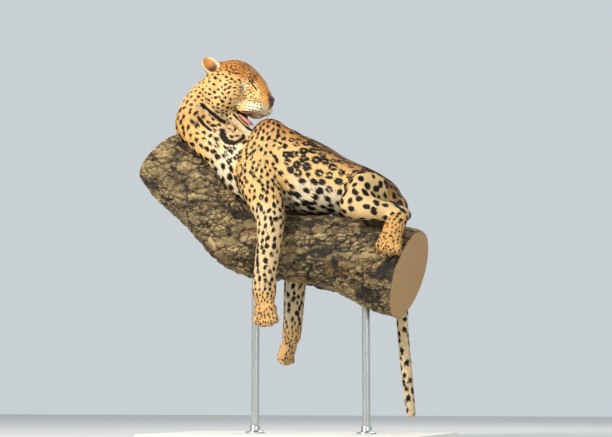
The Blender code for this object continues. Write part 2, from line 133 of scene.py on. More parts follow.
def corners(mesh):
    """Vertex places of a mesh as an array."""
    out = np.empty(len(mesh.vertices) * 3)
    mesh.vertices.foreach_get("co", out)
    return out.reshape(-1, 3)


def edge_ends(mesh):
    """Vertex pairs of a mesh's edges."""
    out = np.empty(len(mesh.edges) * 2, int)
    mesh.edges.foreach_get("vertices", out)
    return out.reshape(-1, 2)


def around(values, edges):
    """For each vertex the mean of a value over its neighbours."""
    count = np.bincount(edges.ravel(), minlength=len(values))
    out = np.empty_like(values)
    for k in range(values.shape[1]):
        column = values[:, k]
        total = np.bincount(edges[:, 0], weights=column[edges[:, 1]], minlength=len(values))
        total += np.bincount(edges[:, 1], weights=column[edges[:, 0]], minlength=len(values))
        out[:, k] = total / np.maximum(count, 1)
    return out


def in_head(points):
    """Points in the head's own frame: X to the nose, Y to its left, Z up."""
    inverse = np.array(HEAD.inverted())
    return points @ inverse[:3, :3].T + inverse[:3, 3]


def from_head(points):
    """Points of the head's own frame in the model's frame."""
    matrix = np.array(HEAD)
    return np.asarray(points, float) @ matrix[:3, :3].T + matrix[:3, 3]


def ramp(values, low, high):
    """0 below low, 1 above high, smooth between; low may be the larger."""
    t = np.clip((values - low) / (high - low), 0.0, 1.0)
    return t * t * (3 - 2 * t)


flesh = bmesh.new()
for node in FLESH:
    piece = welded(node)
    for vert in piece.verts:
        vert.co = vert.co + vert.normal * SEAM_GROWTH
    temporary = mesh_from(piece, "piece")
    flesh.from_mesh(temporary)
    bpy.data.meshes.remove(temporary)
bmesh.ops.create_icosphere(flesh, subdivisions=3, radius=FOLD_SIZE, matrix=Matrix.Translation(FOLD_PLACE))
skin = shown("skin", mesh_from(flesh, "skin"))
remeshed(skin, SKIN_VOXEL)
cleaner = bmesh.new()
cleaner.from_mesh(skin.data)
islands = []
unseen = set(cleaner.verts)
while unseen:
    stack = [unseen.pop()]
    island = list(stack)
    while stack:
        for edge in stack.pop().link_edges:
            for other in edge.verts:
                if other in unseen:
                    unseen.discard(other)
                    island.append(other)
                    stack.append(other)
    islands.append(island)
islands.sort(key=len)
scraps = [vert for island in islands[:-1] for vert in island]
bmesh.ops.delete(cleaner, geom=scraps, context="VERTS")
cleaner.to_mesh(skin.data)
cleaner.free()


# Regions of the coat
# How long the hair is, which way it lies, and how pale the ground is: all are
# worked out along the spine, the legs, the tail and the head's own axis.
SHARE_REACH = 0.02
SHARE_ROUNDS = 5
SOFTEN_ROUNDS = 40
SPINE = [(-0.286, 0.000, 1.294), (-0.340, 0.010, 1.266), (-0.386, 0.014, 1.218),
         (-0.402, 0.012, 1.166), (-0.366, 0.006, 1.108), (-0.295, 0.002, 1.064),
         (-0.215, 0.000, 1.010), (-0.070, 0.000, 0.975), (0.040, 0.000, 0.945),
         (0.135, 0.000, 0.910), (0.225, 0.000, 0.880), (0.336, 0.000, 0.825)]
ARM_LEFT = [(-0.098, -0.060, 1.100), (-0.114, -0.122, 0.930), (-0.056, -0.166, 0.785),
            (-0.063, -0.184, 0.630), (-0.070, -0.188, 0.400)]
ARM_RIGHT = [(-0.098, 0.060, 1.080), (-0.122, 0.125, 0.880), (-0.080, 0.168, 0.700),
             (-0.086, 0.183, 0.520), (-0.120, 0.186, 0.280)]
LEG_LEFT = [(0.275, -0.070, 0.900), (0.245, -0.155, 0.815), (0.340, -0.150, 0.798),
            (0.410, -0.106, 0.786), (0.394, -0.170, 0.750), (0.384, -0.215, 0.690)]
LEG_RIGHT = [(x - 0.125, -y, z) for x, y, z in LEG_LEFT]
TAIL_LINE = [(0.280, 0.000, 0.862), (0.334, 0.095, 0.782), (0.326, 0.206, 0.615),
             (0.320, 0.208, 0.400), (0.341, 0.205, 0.180), (0.350, 0.205, 0.080)]
UNDERSIDE = [(-0.245, -0.120, 1.175), (-0.270, -0.100, 1.110), (-0.262, -0.060, 1.030),
             (-0.262, -0.020, 0.940), (-0.150, 0.000, 0.850), (0.050, -0.060, 0.835),
             (0.160, -0.070, 0.822), (0.250, -0.060, 0.800)]
BACK_LINE = [(-0.400, 0.060, 1.240), (-0.420, 0.060, 1.120), (-0.230, 0.020, 1.130),
             (-0.090, -0.020, 1.150), (0.040, 0.000, 1.085), (0.135, 0.000, 1.020),
             (0.240, 0.000, 0.975), (0.330, 0.000, 0.905)]


def beside(points, line):
    """Distance to a broken line, metres along it, and its direction there."""
    line = np.array(line, float)
    best = np.full(len(points), 1e9)
    place = np.zeros(len(points))
    heading = np.zeros((len(points), 3))
    start = 0.0
    for low, high in zip(line[:-1], line[1:]):
        step = high - low
        length = np.linalg.norm(step)
        t = np.clip((points - low) @ step / length ** 2, 0.0, 1.0)
        gap = np.linalg.norm(points - low - t[:, None] * step, axis=1)
        near = gap < best
        best[near] = gap[near]
        place[near] = start + t[near] * length
        heading[near] = step / length
        start += length
    return best, place, heading


def normals_of(places, triangles):
    """Vertex normals of a triangle mesh, weighted by area."""
    a, b, c = (places[triangles[:, k]] for k in range(3))
    face = np.cross(b - a, c - a)
    out = np.zeros_like(places)
    for k in range(3):
        for axis in range(3):
            out[:, axis] += np.bincount(triangles[:, k], weights=face[:, axis], minlength=len(places))
    return out / np.maximum(np.linalg.norm(out, axis=1), 1e-12)[:, None]


def triangles_of(mesh):
    """Vertex triples of a mesh's triangles."""
    mesh.calc_loop_triangles()
    out = np.empty(len(mesh.loop_triangles) * 3, int)
    mesh.loop_triangles.foreach_get("vertices", out)
    return out.reshape(-1, 3)


def node_shares(points, edges):
    """For each point how much it belongs to each part of the body, softly."""
    groups = {"head": ("head", "jaw"), "ears": ("ear_left", "ear_right"), "neck": ("neck",),
              "torso": ("torso",), "tail": ("tail",), "arm_left": ("foreleg_left",),
              "arm_right": ("foreleg_right",), "leg_left": ("hindleg_left",),
              "leg_right": ("hindleg_right",)}
    reach = np.full(len(points), 1e9)
    owner = np.zeros(len(points), int)
    for index, nodes in enumerate(groups.values()):
        for node in nodes:
            bm = welded(node)
            tree = BVHTree.FromBMesh(bm)
            low, high = (np.array(end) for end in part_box(node))
            near = np.all((points > low - SHARE_REACH) & (points < high + SHARE_REACH), axis=1)
            for k in np.nonzero(near)[0]:
                hit = tree.find_nearest(points[k], SHARE_REACH)
                if hit[3] is not None and hit[3] < reach[k]:
                    reach[k] = hit[3]
                    owner[k] = index
            bm.free()
    shares = np.zeros((len(points), len(groups)))
    shares[np.arange(len(points)), owner] = 1.0
    for _ in range(SHARE_ROUNDS):
        shares = 0.5 * shares + 0.5 * around(shares, edges)
    return {name: shares[:, k] for k, name in enumerate(groups)}


def soften(places, edges, strength, rounds):
    """Moves each vertex towards its neighbours, by a strength of its own."""
    for _ in range(rounds):
        places = places + strength[:, None] * (around(places, edges) - places)
    return places


def on_front(at):
    """Whether a point of the head's frame is on the front of the muzzle."""
    return at.x > 0.080 and at.length < 0.19


def near_eye(at):
    """Whether a point of the head's frame is close to either eye."""
    return (Vector((at.x, abs(at.y), at.z)) - Vector(EYE_CENTRE)).length < EYE_DETAIL


places = corners(skin.data)
edges = edge_ends(skin.data)
local = in_head(places)
head_zone = ramp(np.linalg.norm(local - (0.02, 0, -0.02), axis=1), 0.150, 0.120)
paw_zone = np.zeros(len(places))
for line in (ARM_LEFT, ARM_RIGHT, LEG_LEFT, LEG_RIGHT):
    gap = np.linalg.norm(places - np.array(line[-1]), axis=1)
    paw_zone = np.maximum(paw_zone, ramp(gap, 0.125, 0.085))
detail = np.maximum(head_zone, paw_zone)
places = soften(places, edges, 0.5 * (1 - 0.93 * detail), SOFTEN_ROUNDS)
skin.data.vertices.foreach_set("co", places.ravel())
skin.data.update()
group = skin.vertex_groups.new(name="plain")
for value in range(11):
    members = np.nonzero(np.round((1 - head_zone) * 10) == value)[0]
    group.add(members.tolist(), value / 10, "REPLACE")
thin = skin.modifiers.new("Thin", "DECIMATE")
thin.vertex_group = "plain"
thin.ratio = SKIN_FACES / len(skin.data.polygons)
settled(skin)
skin.vertex_groups.clear()
finer = bmesh.new()
finer.from_mesh(skin.data)
into_head = HEAD.inverted()
for cuts, near_face in ((1, on_front), (2, near_eye)):
    chosen = {edge for face in finer.faces if near_face(into_head @ face.calc_center_median())
              for edge in face.edges}
    bmesh.ops.subdivide_edges(finer, edges=list(chosen), cuts=cuts, use_grid_fill=True)
bmesh.ops.triangulate(finer, faces=[face for face in finer.faces if len(face.verts) > 4])
finer.to_mesh(skin.data)
finer.free()


# The coat's length, lie and depth
BODY_HAIR = 0.0098
NECK_HAIR = 0.0108
LEG_HAIR = 0.0075
TAIL_HAIR = 0.0100
HEAD_HAIR = 0.0065
MUZZLE_HAIR = 0.0032
PAW_HAIR = 0.0050
EAR_HAIR = 0.0050
BELLY_EXTRA = 0.0040
LIFT = math.radians(14)
LIE_ROUNDS = 25

places = corners(skin.data)
triangles = triangles_of(skin.data)
edges = edge_ends(skin.data)
normals = normals_of(places, triangles)
share = node_shares(places, edges)
local = in_head(places)
side = np.abs(local[:, 1])
muzzle = ramp(local[:, 0], 0.045, 0.085) * np.clip(share["head"], 0, 1)
from_under = beside(places, UNDERSIDE)[0]
from_back = beside(places, BACK_LINE)[0]
under = ramp(from_under, 0.150, 0.060) * (share["neck"] + share["torso"])
paws = np.zeros(len(places))
for line, start in ((ARM_LEFT, 0.58), (ARM_RIGHT, 0.66), (LEG_LEFT, 0.36), (LEG_RIGHT, 0.36)):
    gap, along, _ = beside(places, line)
    paws = np.maximum(paws, ramp(along, start - 0.03, start + 0.05) * ramp(gap, 0.10, 0.07))
legs = share["arm_left"] + share["arm_right"] + share["leg_left"] + share["leg_right"]
length = (HEAD_HAIR * share["head"] + EAR_HAIR * share["ears"] + NECK_HAIR * share["neck"]
          + BODY_HAIR * share["torso"] + TAIL_HAIR * share["tail"] + LEG_HAIR * legs)
length += BELLY_EXTRA * under
length += (MUZZLE_HAIR - length) * muzzle
length += (PAW_HAIR - length) * paws

spine_way = beside(places, SPINE)[2]
lie = np.zeros_like(places)
head_matrix = np.array(HEAD)[:3, :3] / HEAD_SCALE
lie += share["head"][:, None] * (head_matrix @ np.array((-1.0, 0.0, -0.10)))
for sign in (-1, 1):
    ear = share["ears"] * (np.sign(local[:, 1]) == sign)
    lie += ear[:, None] * (head_matrix @ np.array((-0.86, sign * 0.22, 0.46)))
down = np.array((0.0, 0.0, -0.35))
lie += (share["neck"] + share["torso"])[:, None] * (spine_way + down * share["torso"][:, None])
for label, line in (("arm_left", ARM_LEFT), ("arm_right", ARM_RIGHT), ("leg_left", LEG_LEFT),
                    ("leg_right", LEG_RIGHT), ("tail", TAIL_LINE)):
    gap, _, way = beside(places, line)
    reach = np.maximum(share[label], share["torso"] * ramp(gap, 0.10, 0.05) * (label != "tail"))
    lie = lie * (1 - reach[:, None]) + way * reach[:, None]


def flattened(vectors, upright):
    """Vectors laid into the surface and made one long."""
    vectors = vectors - np.sum(vectors * upright, axis=1)[:, None] * upright
    return vectors / np.maximum(np.linalg.norm(vectors, axis=1), 1e-9)[:, None]


for _ in range(LIE_ROUNDS):
    lie = flattened(0.3 * lie + 0.7 * around(lie, edges), normals)
depth = length * math.sin(LIFT)
skin_places = places - normals * (SEAM_GROWTH + depth)[:, None]


# Eye openings
# Each eye lies deep between two lids: the skin keeps clear of the globe and dips
# behind it inside an almond opening, narrowed as in an animal that looks down.
GLOBE = EYE_RADIUS * HEAD_SCALE
OPEN_LONG = math.radians(60)
OPEN_UPPER = math.radians(27)
OPEN_LOWER = math.radians(23)
LID_THICKNESS = 0.0016


def unit(vector):
    """The vector made one long."""
    vector = np.array(vector, float)
    return vector / np.linalg.norm(vector)


def eye_axes(sign):
    """Centre of an eye, its outward way, the way to its inner corner, and up."""
    centre = from_head((EYE_CENTRE[0], sign * EYE_CENTRE[1], EYE_CENTRE[2]))
    outward = head_matrix @ unit((0.62, sign * 0.74, 0.26))
    inner = head_matrix @ np.array((1.0, 0.0, -0.55))
    inner = unit(inner - (inner @ outward) * outward)
    upward = np.cross(outward, inner) * -sign
    return centre, outward, inner, upward


def lid_height(across, top):
    """Angle of a lid's edge above or below the eye's middle line."""
    limit = OPEN_UPPER if top else -OPEN_LOWER
    return limit * np.clip(1 - (across / OPEN_LONG) ** 2, 0, 1) ** 0.75


EYE_SIDES = (("right", -1), ("left", 1))
eye_near = np.zeros(len(places))
for _, sign in EYE_SIDES:
    centre, outward, inner, upward = eye_axes(sign)
    away = skin_places - centre
    reach = np.linalg.norm(away, axis=1)
    across = np.arctan2(away @ inner, away @ outward)
    height = np.arcsin(np.clip(away @ upward / reach, -1, 1))
    facing = (away @ outward > 0) & (reach < 2.2 * GLOBE)
    slack = math.radians(3)
    opened = (facing & (np.abs(across) < OPEN_LONG) & (height < lid_height(across, True) + slack)
              & (height > lid_height(across, False) - slack))
    clear = np.maximum(reach, GLOBE + LID_THICKNESS)
    wanted = np.where(opened, 0.70 * GLOBE, np.where(facing, clear, reach))
    close = ramp(reach, 2.6 * GLOBE, 1.5 * GLOBE)
    close = close * ramp(np.abs(across), 1.5 * OPEN_LONG, 0.9 * OPEN_LONG) * (1 - opened)
    over = np.degrees(height - lid_height(across, True))
    below = np.degrees(lid_height(across, False) - height)
    fold = -np.exp(-((over - 15) / 5) ** 2) + 1.5 * np.exp(-((over - 34) / 12) ** 2)
    fold += 0.8 * np.exp(-((over - 5) / 4) ** 2) - 0.8 * np.exp(-((below - 14) / 5) ** 2)
    fold += 0.9 * np.exp(-((below - 5) / 4) ** 2)
    wanted = wanted + 0.0010 * fold * close * (away @ outward > 0)
    skin_places = centre + away * (wanted / reach)[:, None]
    eye_near = np.maximum(eye_near, opened)

NOSE_SET = 0.0055
NOSE_LEVELS = (-0.042, -0.034, -0.026, -0.012, -0.006, 0.006, 0.0125, 0.016)
NOSE_HALVES = (0.0, 0.0015, 0.0032, 0.0135, 0.0165, 0.0150, 0.0090, 0.0)


def nose_set(own):
    """How far the skin stands back for the leather of the nose."""
    half = np.interp(own[:, 2], NOSE_LEVELS, NOSE_HALVES)
    inside = ramp(np.abs(own[:, 1]) - half, 0.0022, -0.0018) * (half > 0.001)
    return NOSE_SET * inside * ramp(own[:, 0], 0.095, 0.110)


ahead = head_matrix @ np.array((1.0, 0.0, 0.0))
skin_places -= nose_set(in_head(skin_places))[:, None] * ahead
skin.data.vertices.foreach_set("co", skin_places.ravel())
skin.data.update()
skin.data.shade_smooth()


# Markings
# Rosettes on the back and flanks, solid spots on belly, legs and face, and bars
# on the throat, set one by one on the skin with a spacing of their own.
SPOT_SEED = 5
SPOT_CLEARANCE = 0.87
RIPPLES = 7
RIPPLE_SIZE = 0.011
RIPPLE_DEPTH = 0.0011
EAR_ROOT = (-0.083, 0.058, 0.026)
EAR_AXIS = (-0.86, 0.22, 0.46)
EAR_OPENING = (0.30, 0.86, 0.40)
BACK_SPACING = 0.0290
FLANK_SPACING = 0.0345
BELLY_SPACING = 0.0315
THIGH_SPACING = 0.0325
SHOULDER_SPACING = 0.0205
NECK_SPACING = 0.0260
LEG_SPACING = 0.0210
PAW_SPACING = 0.0120
TAIL_SPACING = 0.0270
CHEEK_SPACING = 0.0182
BROW_SPACING = 0.0125
FACE_SPACING = 0.0095


def blended(default, *layers):
    """A value per vertex: each layer's value is laid over by its mask."""
    out = np.full(len(places), default, float)
    for value, mask in layers:
        out += (value - out) * np.clip(mask, 0, 1)
    return out


def kd_tree(points):
    """A search tree of points, numbered in their order."""
    found = KDTree(len(points))
    for index, place in enumerate(points):
        found.insert(place, index)
    found.balance()
    return found


def wave_set(chance, count, size, least, most):
    """Ways of a few waves, each shorter or longer than one size by chance."""
    ways = chance.normal(0, 1, (count, 3))
    lengths = np.linalg.norm(ways, axis=1)[:, None]
    return ways * ((2 * math.pi / size) * chance.uniform(least, most, count)[:, None] / lengths)


on_head = share["head"]
forehead = on_head * ramp(local[:, 2], 0.018, 0.042)
front_face = on_head * ramp(local[:, 0], 0.022, 0.044)
bridge = (on_head * ramp(local[:, 0], 0.048, 0.066) * ramp(side, 0.034, 0.022)
          * ramp(local[:, 2], -0.030, -0.012))
flank_low = share["torso"] * ramp(places[:, 2] - np.interp(places[:, 0], [-0.3, -0.1, 0.1, 0.3],
                                                          [0.98, 0.975, 0.935, 0.85]), 0.045, -0.045)
flank_low *= 1 - ramp(beside(places, ARM_LEFT)[0], 0.115, 0.070)
back = share["torso"] * ramp(from_back, 0.130, 0.050)
thigh = np.clip(share["leg_left"] + share["leg_right"], 0, 1) * (1 - paws)
arms = np.clip(share["arm_left"] + share["arm_right"], 0, 1)
upper_arm = share["torso"] * ramp(beside(places, ARM_LEFT)[0], 0.11, 0.07)
spacing = blended(FLANK_SPACING, (BACK_SPACING, back), (BELLY_SPACING, flank_low),
                  (SHOULDER_SPACING, upper_arm), (NECK_SPACING, share["neck"]), (LEG_SPACING, arms),
                  (THIGH_SPACING, thigh), (TAIL_SPACING, share["tail"]), (PAW_SPACING, paws),
                  (CHEEK_SPACING, on_head), (BROW_SPACING, forehead), (FACE_SPACING, front_face))
ringed = blended(1.0, (0.9, back), *((0.0, part) for part in (flank_low, upper_arm, share["neck"], legs,
                                                              share["tail"], on_head)))
fuller = blended(1.12, (1.20, arms), (1.42, flank_low), (1.08, share["neck"]), (1.12, thigh),
                 (1.0, paws), (1.0, on_head))
plain = np.maximum.reduce([bridge, share["ears"], on_head * ramp(local[:, 0], 0.108, 0.118),
                           share["head"] * ramp(local[:, 2], -0.030, -0.040) * ramp(local[:, 0], 0.05, 0.07)])

tree = kd_tree(skin_places)
spot_rng = np.random.default_rng(SPOT_SEED)
taken = plain > 0.5
spots = []
for index in spot_rng.permutation(len(places)):
    if taken[index]:
        continue
    spots.append(index)
    for _, other, _ in tree.find_range(skin_places[index], spacing[index] * SPOT_CLEARANCE):
        taken[other] = True

blobs = []


def add_blob(centre, radius, heading, stretch):
    """One dark patch, longer along its heading."""
    blobs.append((*centre, radius, *heading, stretch))


for index in spots:
    centre = skin_places[index]
    along = lie[index]
    across = np.cross(normals[index], along)
    gap = spacing[index]
    size = gap * spot_rng.uniform(0.85, 1.15)
    if spot_rng.random() < ringed[index]:
        count = spot_rng.integers(3, 5)
        first = spot_rng.uniform(0, 2 * math.pi)
        for k in range(count):
            turn = first + 2 * math.pi * (k + spot_rng.uniform(-0.16, 0.16)) / count
            out = along * math.cos(turn) + across * math.sin(turn)
            round_way = across * math.cos(turn) - along * math.sin(turn)
            add_blob(centre + out * size * 0.265, size * spot_rng.uniform(0.165, 0.225), round_way,
                     spot_rng.uniform(1.2, 2.1))
    else:
        radius = size * spot_rng.uniform(0.235, 0.31) * fuller[index]
        twist = spot_rng.normal(0, 0.5)
        heading = along * math.cos(twist) + across * math.sin(twist)
        stretch = 1 + (spot_rng.uniform(1.1, 1.7) - 1) * (1 - 0.6 * flank_low[index])
        add_blob(centre, radius, heading, stretch)
        if spot_rng.random() < 0.35 * (1 - flank_low[index]) and gap > 0.018:
            shift = across * size * 0.20 * spot_rng.choice((-1, 1)) + along * size * 0.15
            add_blob(centre + shift, radius * 0.65, heading, stretch)
blobs = np.array(blobs)
blob_tree = kd_tree(blobs[:, :3])
WAVES = wave_set(spot_rng, RIPPLES, RIPPLE_SIZE, 0.6, 1.7)
PHASES = spot_rng.uniform(0, 2 * math.pi, RIPPLES)


def ripple(points):
    """A smooth noise from -1 to 1 with lumps about a centimetre across."""
    return np.sin(points @ WAVES.T + PHASES).sum(axis=1) / 4.0


def ink_at(points):
    """How far inside a dark patch each point is, in millimetres."""
    near = np.array([[hit[1] for hit in blob_tree.find_n(point, 6)] for point in points])
    best = np.full(len(points), -0.02)
    for k in range(near.shape[1]):
        row = blobs[near[:, k]]
        away = points - row[:, :3]
        on = np.sum(away * row[:, 4:7], axis=1)
        off = np.maximum(np.sum(away * away, axis=1) - on * on, 0)
        best = np.maximum(best, row[:, 3] - np.sqrt((on / row[:, 7]) ** 2 + off))
    best += RIPPLE_DEPTH * ripple(points)
    return best * 1000


def paint(red, green, blue):
    """A colour given as it looks on paper, as linear light."""
    return np.array([((c + 0.055) / 1.055) ** 2.4 if c > 0.04 else c / 12.92 for c in (red, green, blue)])


GOLD_BACK = paint(0.75, 0.51, 0.27)
GOLD_SIDE = paint(0.87, 0.69, 0.42)
CREAM = paint(0.93, 0.81, 0.57)
WHITE = paint(0.91, 0.88, 0.80)
HEAD_GOLD = paint(0.76, 0.49, 0.21)
NOSE_GOLD = paint(0.78, 0.53, 0.24)
PAW_GOLD = paint(0.83, 0.64, 0.38)
# a greyer cream painted under the jaw as painted shade
JAW_SHADE = paint(0.76, 0.68, 0.53)
EAR_TAN = paint(0.80, 0.56, 0.30)
# painted shade for the hollow inside each ear cup
EAR_CUP_SHADE = paint(0.22, 0.14, 0.09)
EAR_FRINGE = paint(0.93, 0.85, 0.68)
SOOT = paint(0.10, 0.07, 0.05)


def laid(ground, colour, mask):
    """A colour laid over the ground by a mask."""
    return ground + (colour - ground) * np.clip(mask, 0, 1)[:, None]


def ground_at(spot):
    """The coat's ground colour, from the fields of each place, with painted shade in the ear cups and under the
    jaw.
    """
    ground = np.tile(GOLD_SIDE, (len(spot["back"]), 1))
    ground = laid(ground, GOLD_BACK, spot["back"])
    ground = laid(ground, CREAM, spot["pale"])
    ground = laid(ground, WHITE, spot["pale"] * 2 - 1)
    ground = laid(ground, PAW_GOLD, spot["paws"] * 0.8)
    ground = laid(ground, HEAD_GOLD, spot["crown"])
    ground = laid(ground, NOSE_GOLD, spot["bridge"])
    ground = laid(ground, JAW_SHADE, spot["chin"] * 0.75)
    ground = laid(ground, EAR_TAN, spot["ears"])
    ground = laid(ground, EAR_FRINGE, spot["ear_fringe"])
    ground = laid(ground, EAR_CUP_SHADE, spot["ear_cup_shade"])
    ground = laid(ground, SOOT, spot["ear_black"])
    return ground


inner_side = np.zeros(len(places))
for label, sign in (("arm_left", 1), ("arm_right", -1), ("leg_left", 1), ("leg_right", -1)):
    inner_side += share[label] * ramp(sign * normals[:, 1], -0.2, 0.7)
pale = np.maximum.reduce([
    ramp(from_under, 0.130, 0.055) * (0.62 * share["neck"] + 0.85 * share["torso"]),
    0.80 * flank_low,
    0.75 * inner_side,
    0.62 * arms, 0.50 * upper_arm, 0.42 * share["torso"], 0.58 * thigh,
    0.70 * share["tail"],
    on_head * ramp(local[:, 2], 0.030, -0.055) * 0.46 * ramp(local[:, 0], -0.110, -0.050),
    0.75 * ramp(np.linalg.norm(np.abs(local) - (0.047, 0.050, 0.010), axis=1), 0.017, 0.008),
    0.60 * ramp(np.linalg.norm(np.abs(local) - (0.040, 0.046, 0.050), axis=1), 0.016, 0.008),
    on_head * ramp(local[:, 0], 0.060, 0.085) * ramp(local[:, 2], -0.020, -0.038) * 0.88,
])
pale = pale * (1 - 0.9 * back)
ear_black = np.zeros(len(places))
ear_cup_shade = np.zeros(len(places))
ear_fringe = np.zeros(len(places))
own_normals = normals @ head_matrix
for sign in (-1, 1):
    axis = unit((EAR_AXIS[0], sign * EAR_AXIS[1], EAR_AXIS[2]))
    opening = np.array((EAR_OPENING[0], sign * EAR_OPENING[1], EAR_OPENING[2]))
    opening = unit(opening - axis * (opening @ axis))
    from_root = local - np.array((EAR_ROOT[0], sign * EAR_ROOT[1], EAR_ROOT[2]))
    up_ear = from_root @ axis
    off_ear = from_root @ np.cross(axis, opening)
    ear = share["ears"] * (np.sign(local[:, 1]) == sign)
    facing = own_normals @ opening
    bowl = np.hypot(off_ear / 0.024, (up_ear - 0.026) / 0.038)
    # the inside of each ear cup is painted dark as painted shade
    ear_cup_shade += ear * ramp(facing, -0.1, 0.3) * ramp(bowl, 0.95, 0.45) * ramp(up_ear, 0.040, 0.010)
    ear_fringe += (ear * ramp(facing, -0.2, 0.2) * ramp(np.abs(bowl - 0.88), 0.22, 0.05)
                   * ramp(up_ear, 0.060, 0.045))
    patch = ramp(np.hypot(off_ear / 0.017, (up_ear - 0.040) / 0.014), 1.2, 0.8)
    ear_black += ear * np.maximum(ramp(facing, 0.05, -0.25) * (1 - patch), 0.7 * ramp(up_ear, 0.056, 0.064))
fields = {
    # painted shade on the underside of the jaw
    "chin": on_head * ramp(local[:, 2], -0.085, -0.105),
    "ear_black": ear_black,
    "ear_cup_shade": ear_cup_shade,
    "ear_fringe": ear_fringe,
    "back": np.clip(back + 0.5 * share["tail"] * ramp(normals[:, 0], -0.2, 0.8), 0, 1),
    "pale": pale * (1 - share["ears"]),
    "paws": paws,
    "crown": forehead * 0.9,
    "bridge": bridge,
    "ears": share["ears"],
}
# Bars and lines: name, whether both sides have it, half width, and its points,
# in the head's own frame
BARS = (
    ("tear_line", True, 0.0032, [(0.066, 0.043, 0.021), (0.080, 0.036, 0.012), (0.094, 0.030, -0.004)]),
    ("eye_corner", True, 0.0028, [(0.030, 0.058, 0.034), (0.012, 0.070, 0.030), (-0.004, 0.079, 0.022)]),
    ("upper_lip", True, 0.0040, [(0.128, 0.002, -0.046), (0.118, 0.016, -0.058), (0.098, 0.034, -0.063),
                                 (0.072, 0.040, -0.072), (0.048, 0.040, -0.078)]),
    ("lip_corner", True, 0.0130, [(0.052, 0.030, -0.082), (0.040, 0.038, -0.084)]),
    ("lower_lip", True, 0.0100, [(0.104, 0.004, -0.115), (0.088, 0.022, -0.108), (0.060, 0.030, -0.096),
                                 (0.036, 0.036, -0.086)]),
    ("jaw_bar", True, 0.0085, [(-0.100, 0.048, -0.086), (-0.064, 0.047, -0.101), (-0.027, 0.042, -0.111),
                               (0.000, 0.022, -0.120)]),
    ("chin_bar", True, 0.0090, [(0.004, 0.040, -0.112), (0.024, 0.030, -0.122), (0.040, 0.014, -0.130)]),
    ("collar", False, 0.0120, [(0.004, -0.034, -0.146), (0.022, -0.038, -0.166), (0.047, -0.038, -0.177),
                               (0.071, -0.031, -0.172), (0.084, -0.013, -0.146)]),
    ("neck_bar", False, 0.0085, [(-0.085, -0.050, -0.130), (-0.060, -0.050, -0.146),
                                 (-0.030, -0.049, -0.158)]),
)


def bars_at(points):
    """How far inside a bar or line each point is, in millimetres."""
    own = in_head(points)
    best = np.full(len(points), -20.0)
    for _, both, half, line in BARS:
        seen = np.column_stack([own[:, 0], np.abs(own[:, 1]), own[:, 2]]) if both else own
        gap = beside(seen, line)[0]
        best = np.maximum(best, (half - gap * HEAD_SCALE) * 1000)
    return best + 0.5 * ripple(points)


def whisker_dots(points):
    """Rows of small dots on the upper lip, in millimetres."""
    own = in_head(points)
    level = (own[:, 2] + 0.054) / 0.0095 + 0.5 * (0.115 - own[:, 0]) / 0.03
    step = (own[:, 0] + 0.35 * own[:, 2]) / 0.0098
    off = np.hypot((level - np.round(level)) * 9.5, (step - np.round(step)) * 9.8)
    pad = (own[:, 0] > 0.072) & (own[:, 0] < 0.124) & (own[:, 2] < -0.016) & (own[:, 2] > -0.060)
    pad &= np.abs(own[:, 1]) > 0.012
    return np.where(pad, 2.3 - off, -20.0) * 1.1


def dark_at(points, bare):
    """All dark marks: spots where they grow, bars and whisker dots."""
    spotted = np.where(bare > 0.5, -5.0, ink_at(points))
    bars = bars_at(points)
    spotted = np.where(bars > -4.5, -5.0, spotted)
    return np.maximum.reduce([spotted, bars, whisker_dots(points)])


skin_ink = dark_at(skin_places, plain)
skin_ground = ground_at(fields)


def store(mesh, name, values, domain="POINT"):
    """Keeps a value or a colour on each vertex of a mesh."""
    if values.ndim == 1:
        layer = mesh.attributes.new(name, "FLOAT", domain)
        layer.data.foreach_set("value", values.astype(np.float32))
    else:
        layer = mesh.attributes.new(name, "FLOAT_COLOR", domain)
        rgba = np.ones((len(values), 4), np.float32)
        rgba[:, :3] = values
        layer.data.foreach_set("color", rgba.ravel())


def new_group(name, kind, inputs, outputs):
    """A node group with named sockets, and those sockets as seen inside it."""
    tree = bpy.data.node_groups.new(name, kind)
    for way, sockets in (("INPUT", inputs), ("OUTPUT", outputs)):
        for label, sort in sockets.items():
            tree.interface.new_socket(label, in_out=way, socket_type="NodeSocket" + sort)
    return tree, tree.nodes.new("NodeGroupInput").outputs, tree.nodes.new("NodeGroupOutput").inputs


def added(tree, kind, inputs=(), **settings):
    """A new node; each of its inputs is given a value or is linked to a socket."""
    node = tree.nodes.new(kind)
    for name, value in settings.items():
        setattr(node, name, value)
    for key, value in dict(inputs).items():
        if isinstance(value, bpy.types.NodeSocket):
            tree.links.new(value, node.inputs[key])
        else:
            node.inputs[key].default_value = value
    return node


def made(tree, kind, output, inputs=(), **settings):
    """One output of a new node."""
    return added(tree, kind, inputs, **settings).outputs[output]


def stored(tree, name, output="Fac"):
    """A value or a colour kept on the mesh."""
    return made(tree, "ShaderNodeAttribute", output, attribute_name=name)


def mixed(tree, part, first, second):
    """One colour laid over another by a mask."""
    return made(tree, "ShaderNodeMix", "Result", {"Factor": part, "A": first, "B": second}, data_type="RGBA")


def plain_material(name, colour, roughness, metallic=0.0):
    """A material of one colour, which its own section may fill in."""
    mat = bpy.data.materials.new(name)
    mat.use_nodes = True
    shader = mat.node_tree.nodes["Principled BSDF"]
    shader.inputs["Base Color"].default_value = (*colour, 1.0)
    shader.inputs["Roughness"].default_value = roughness
    shader.inputs["Metallic"].default_value = metallic
    return mat


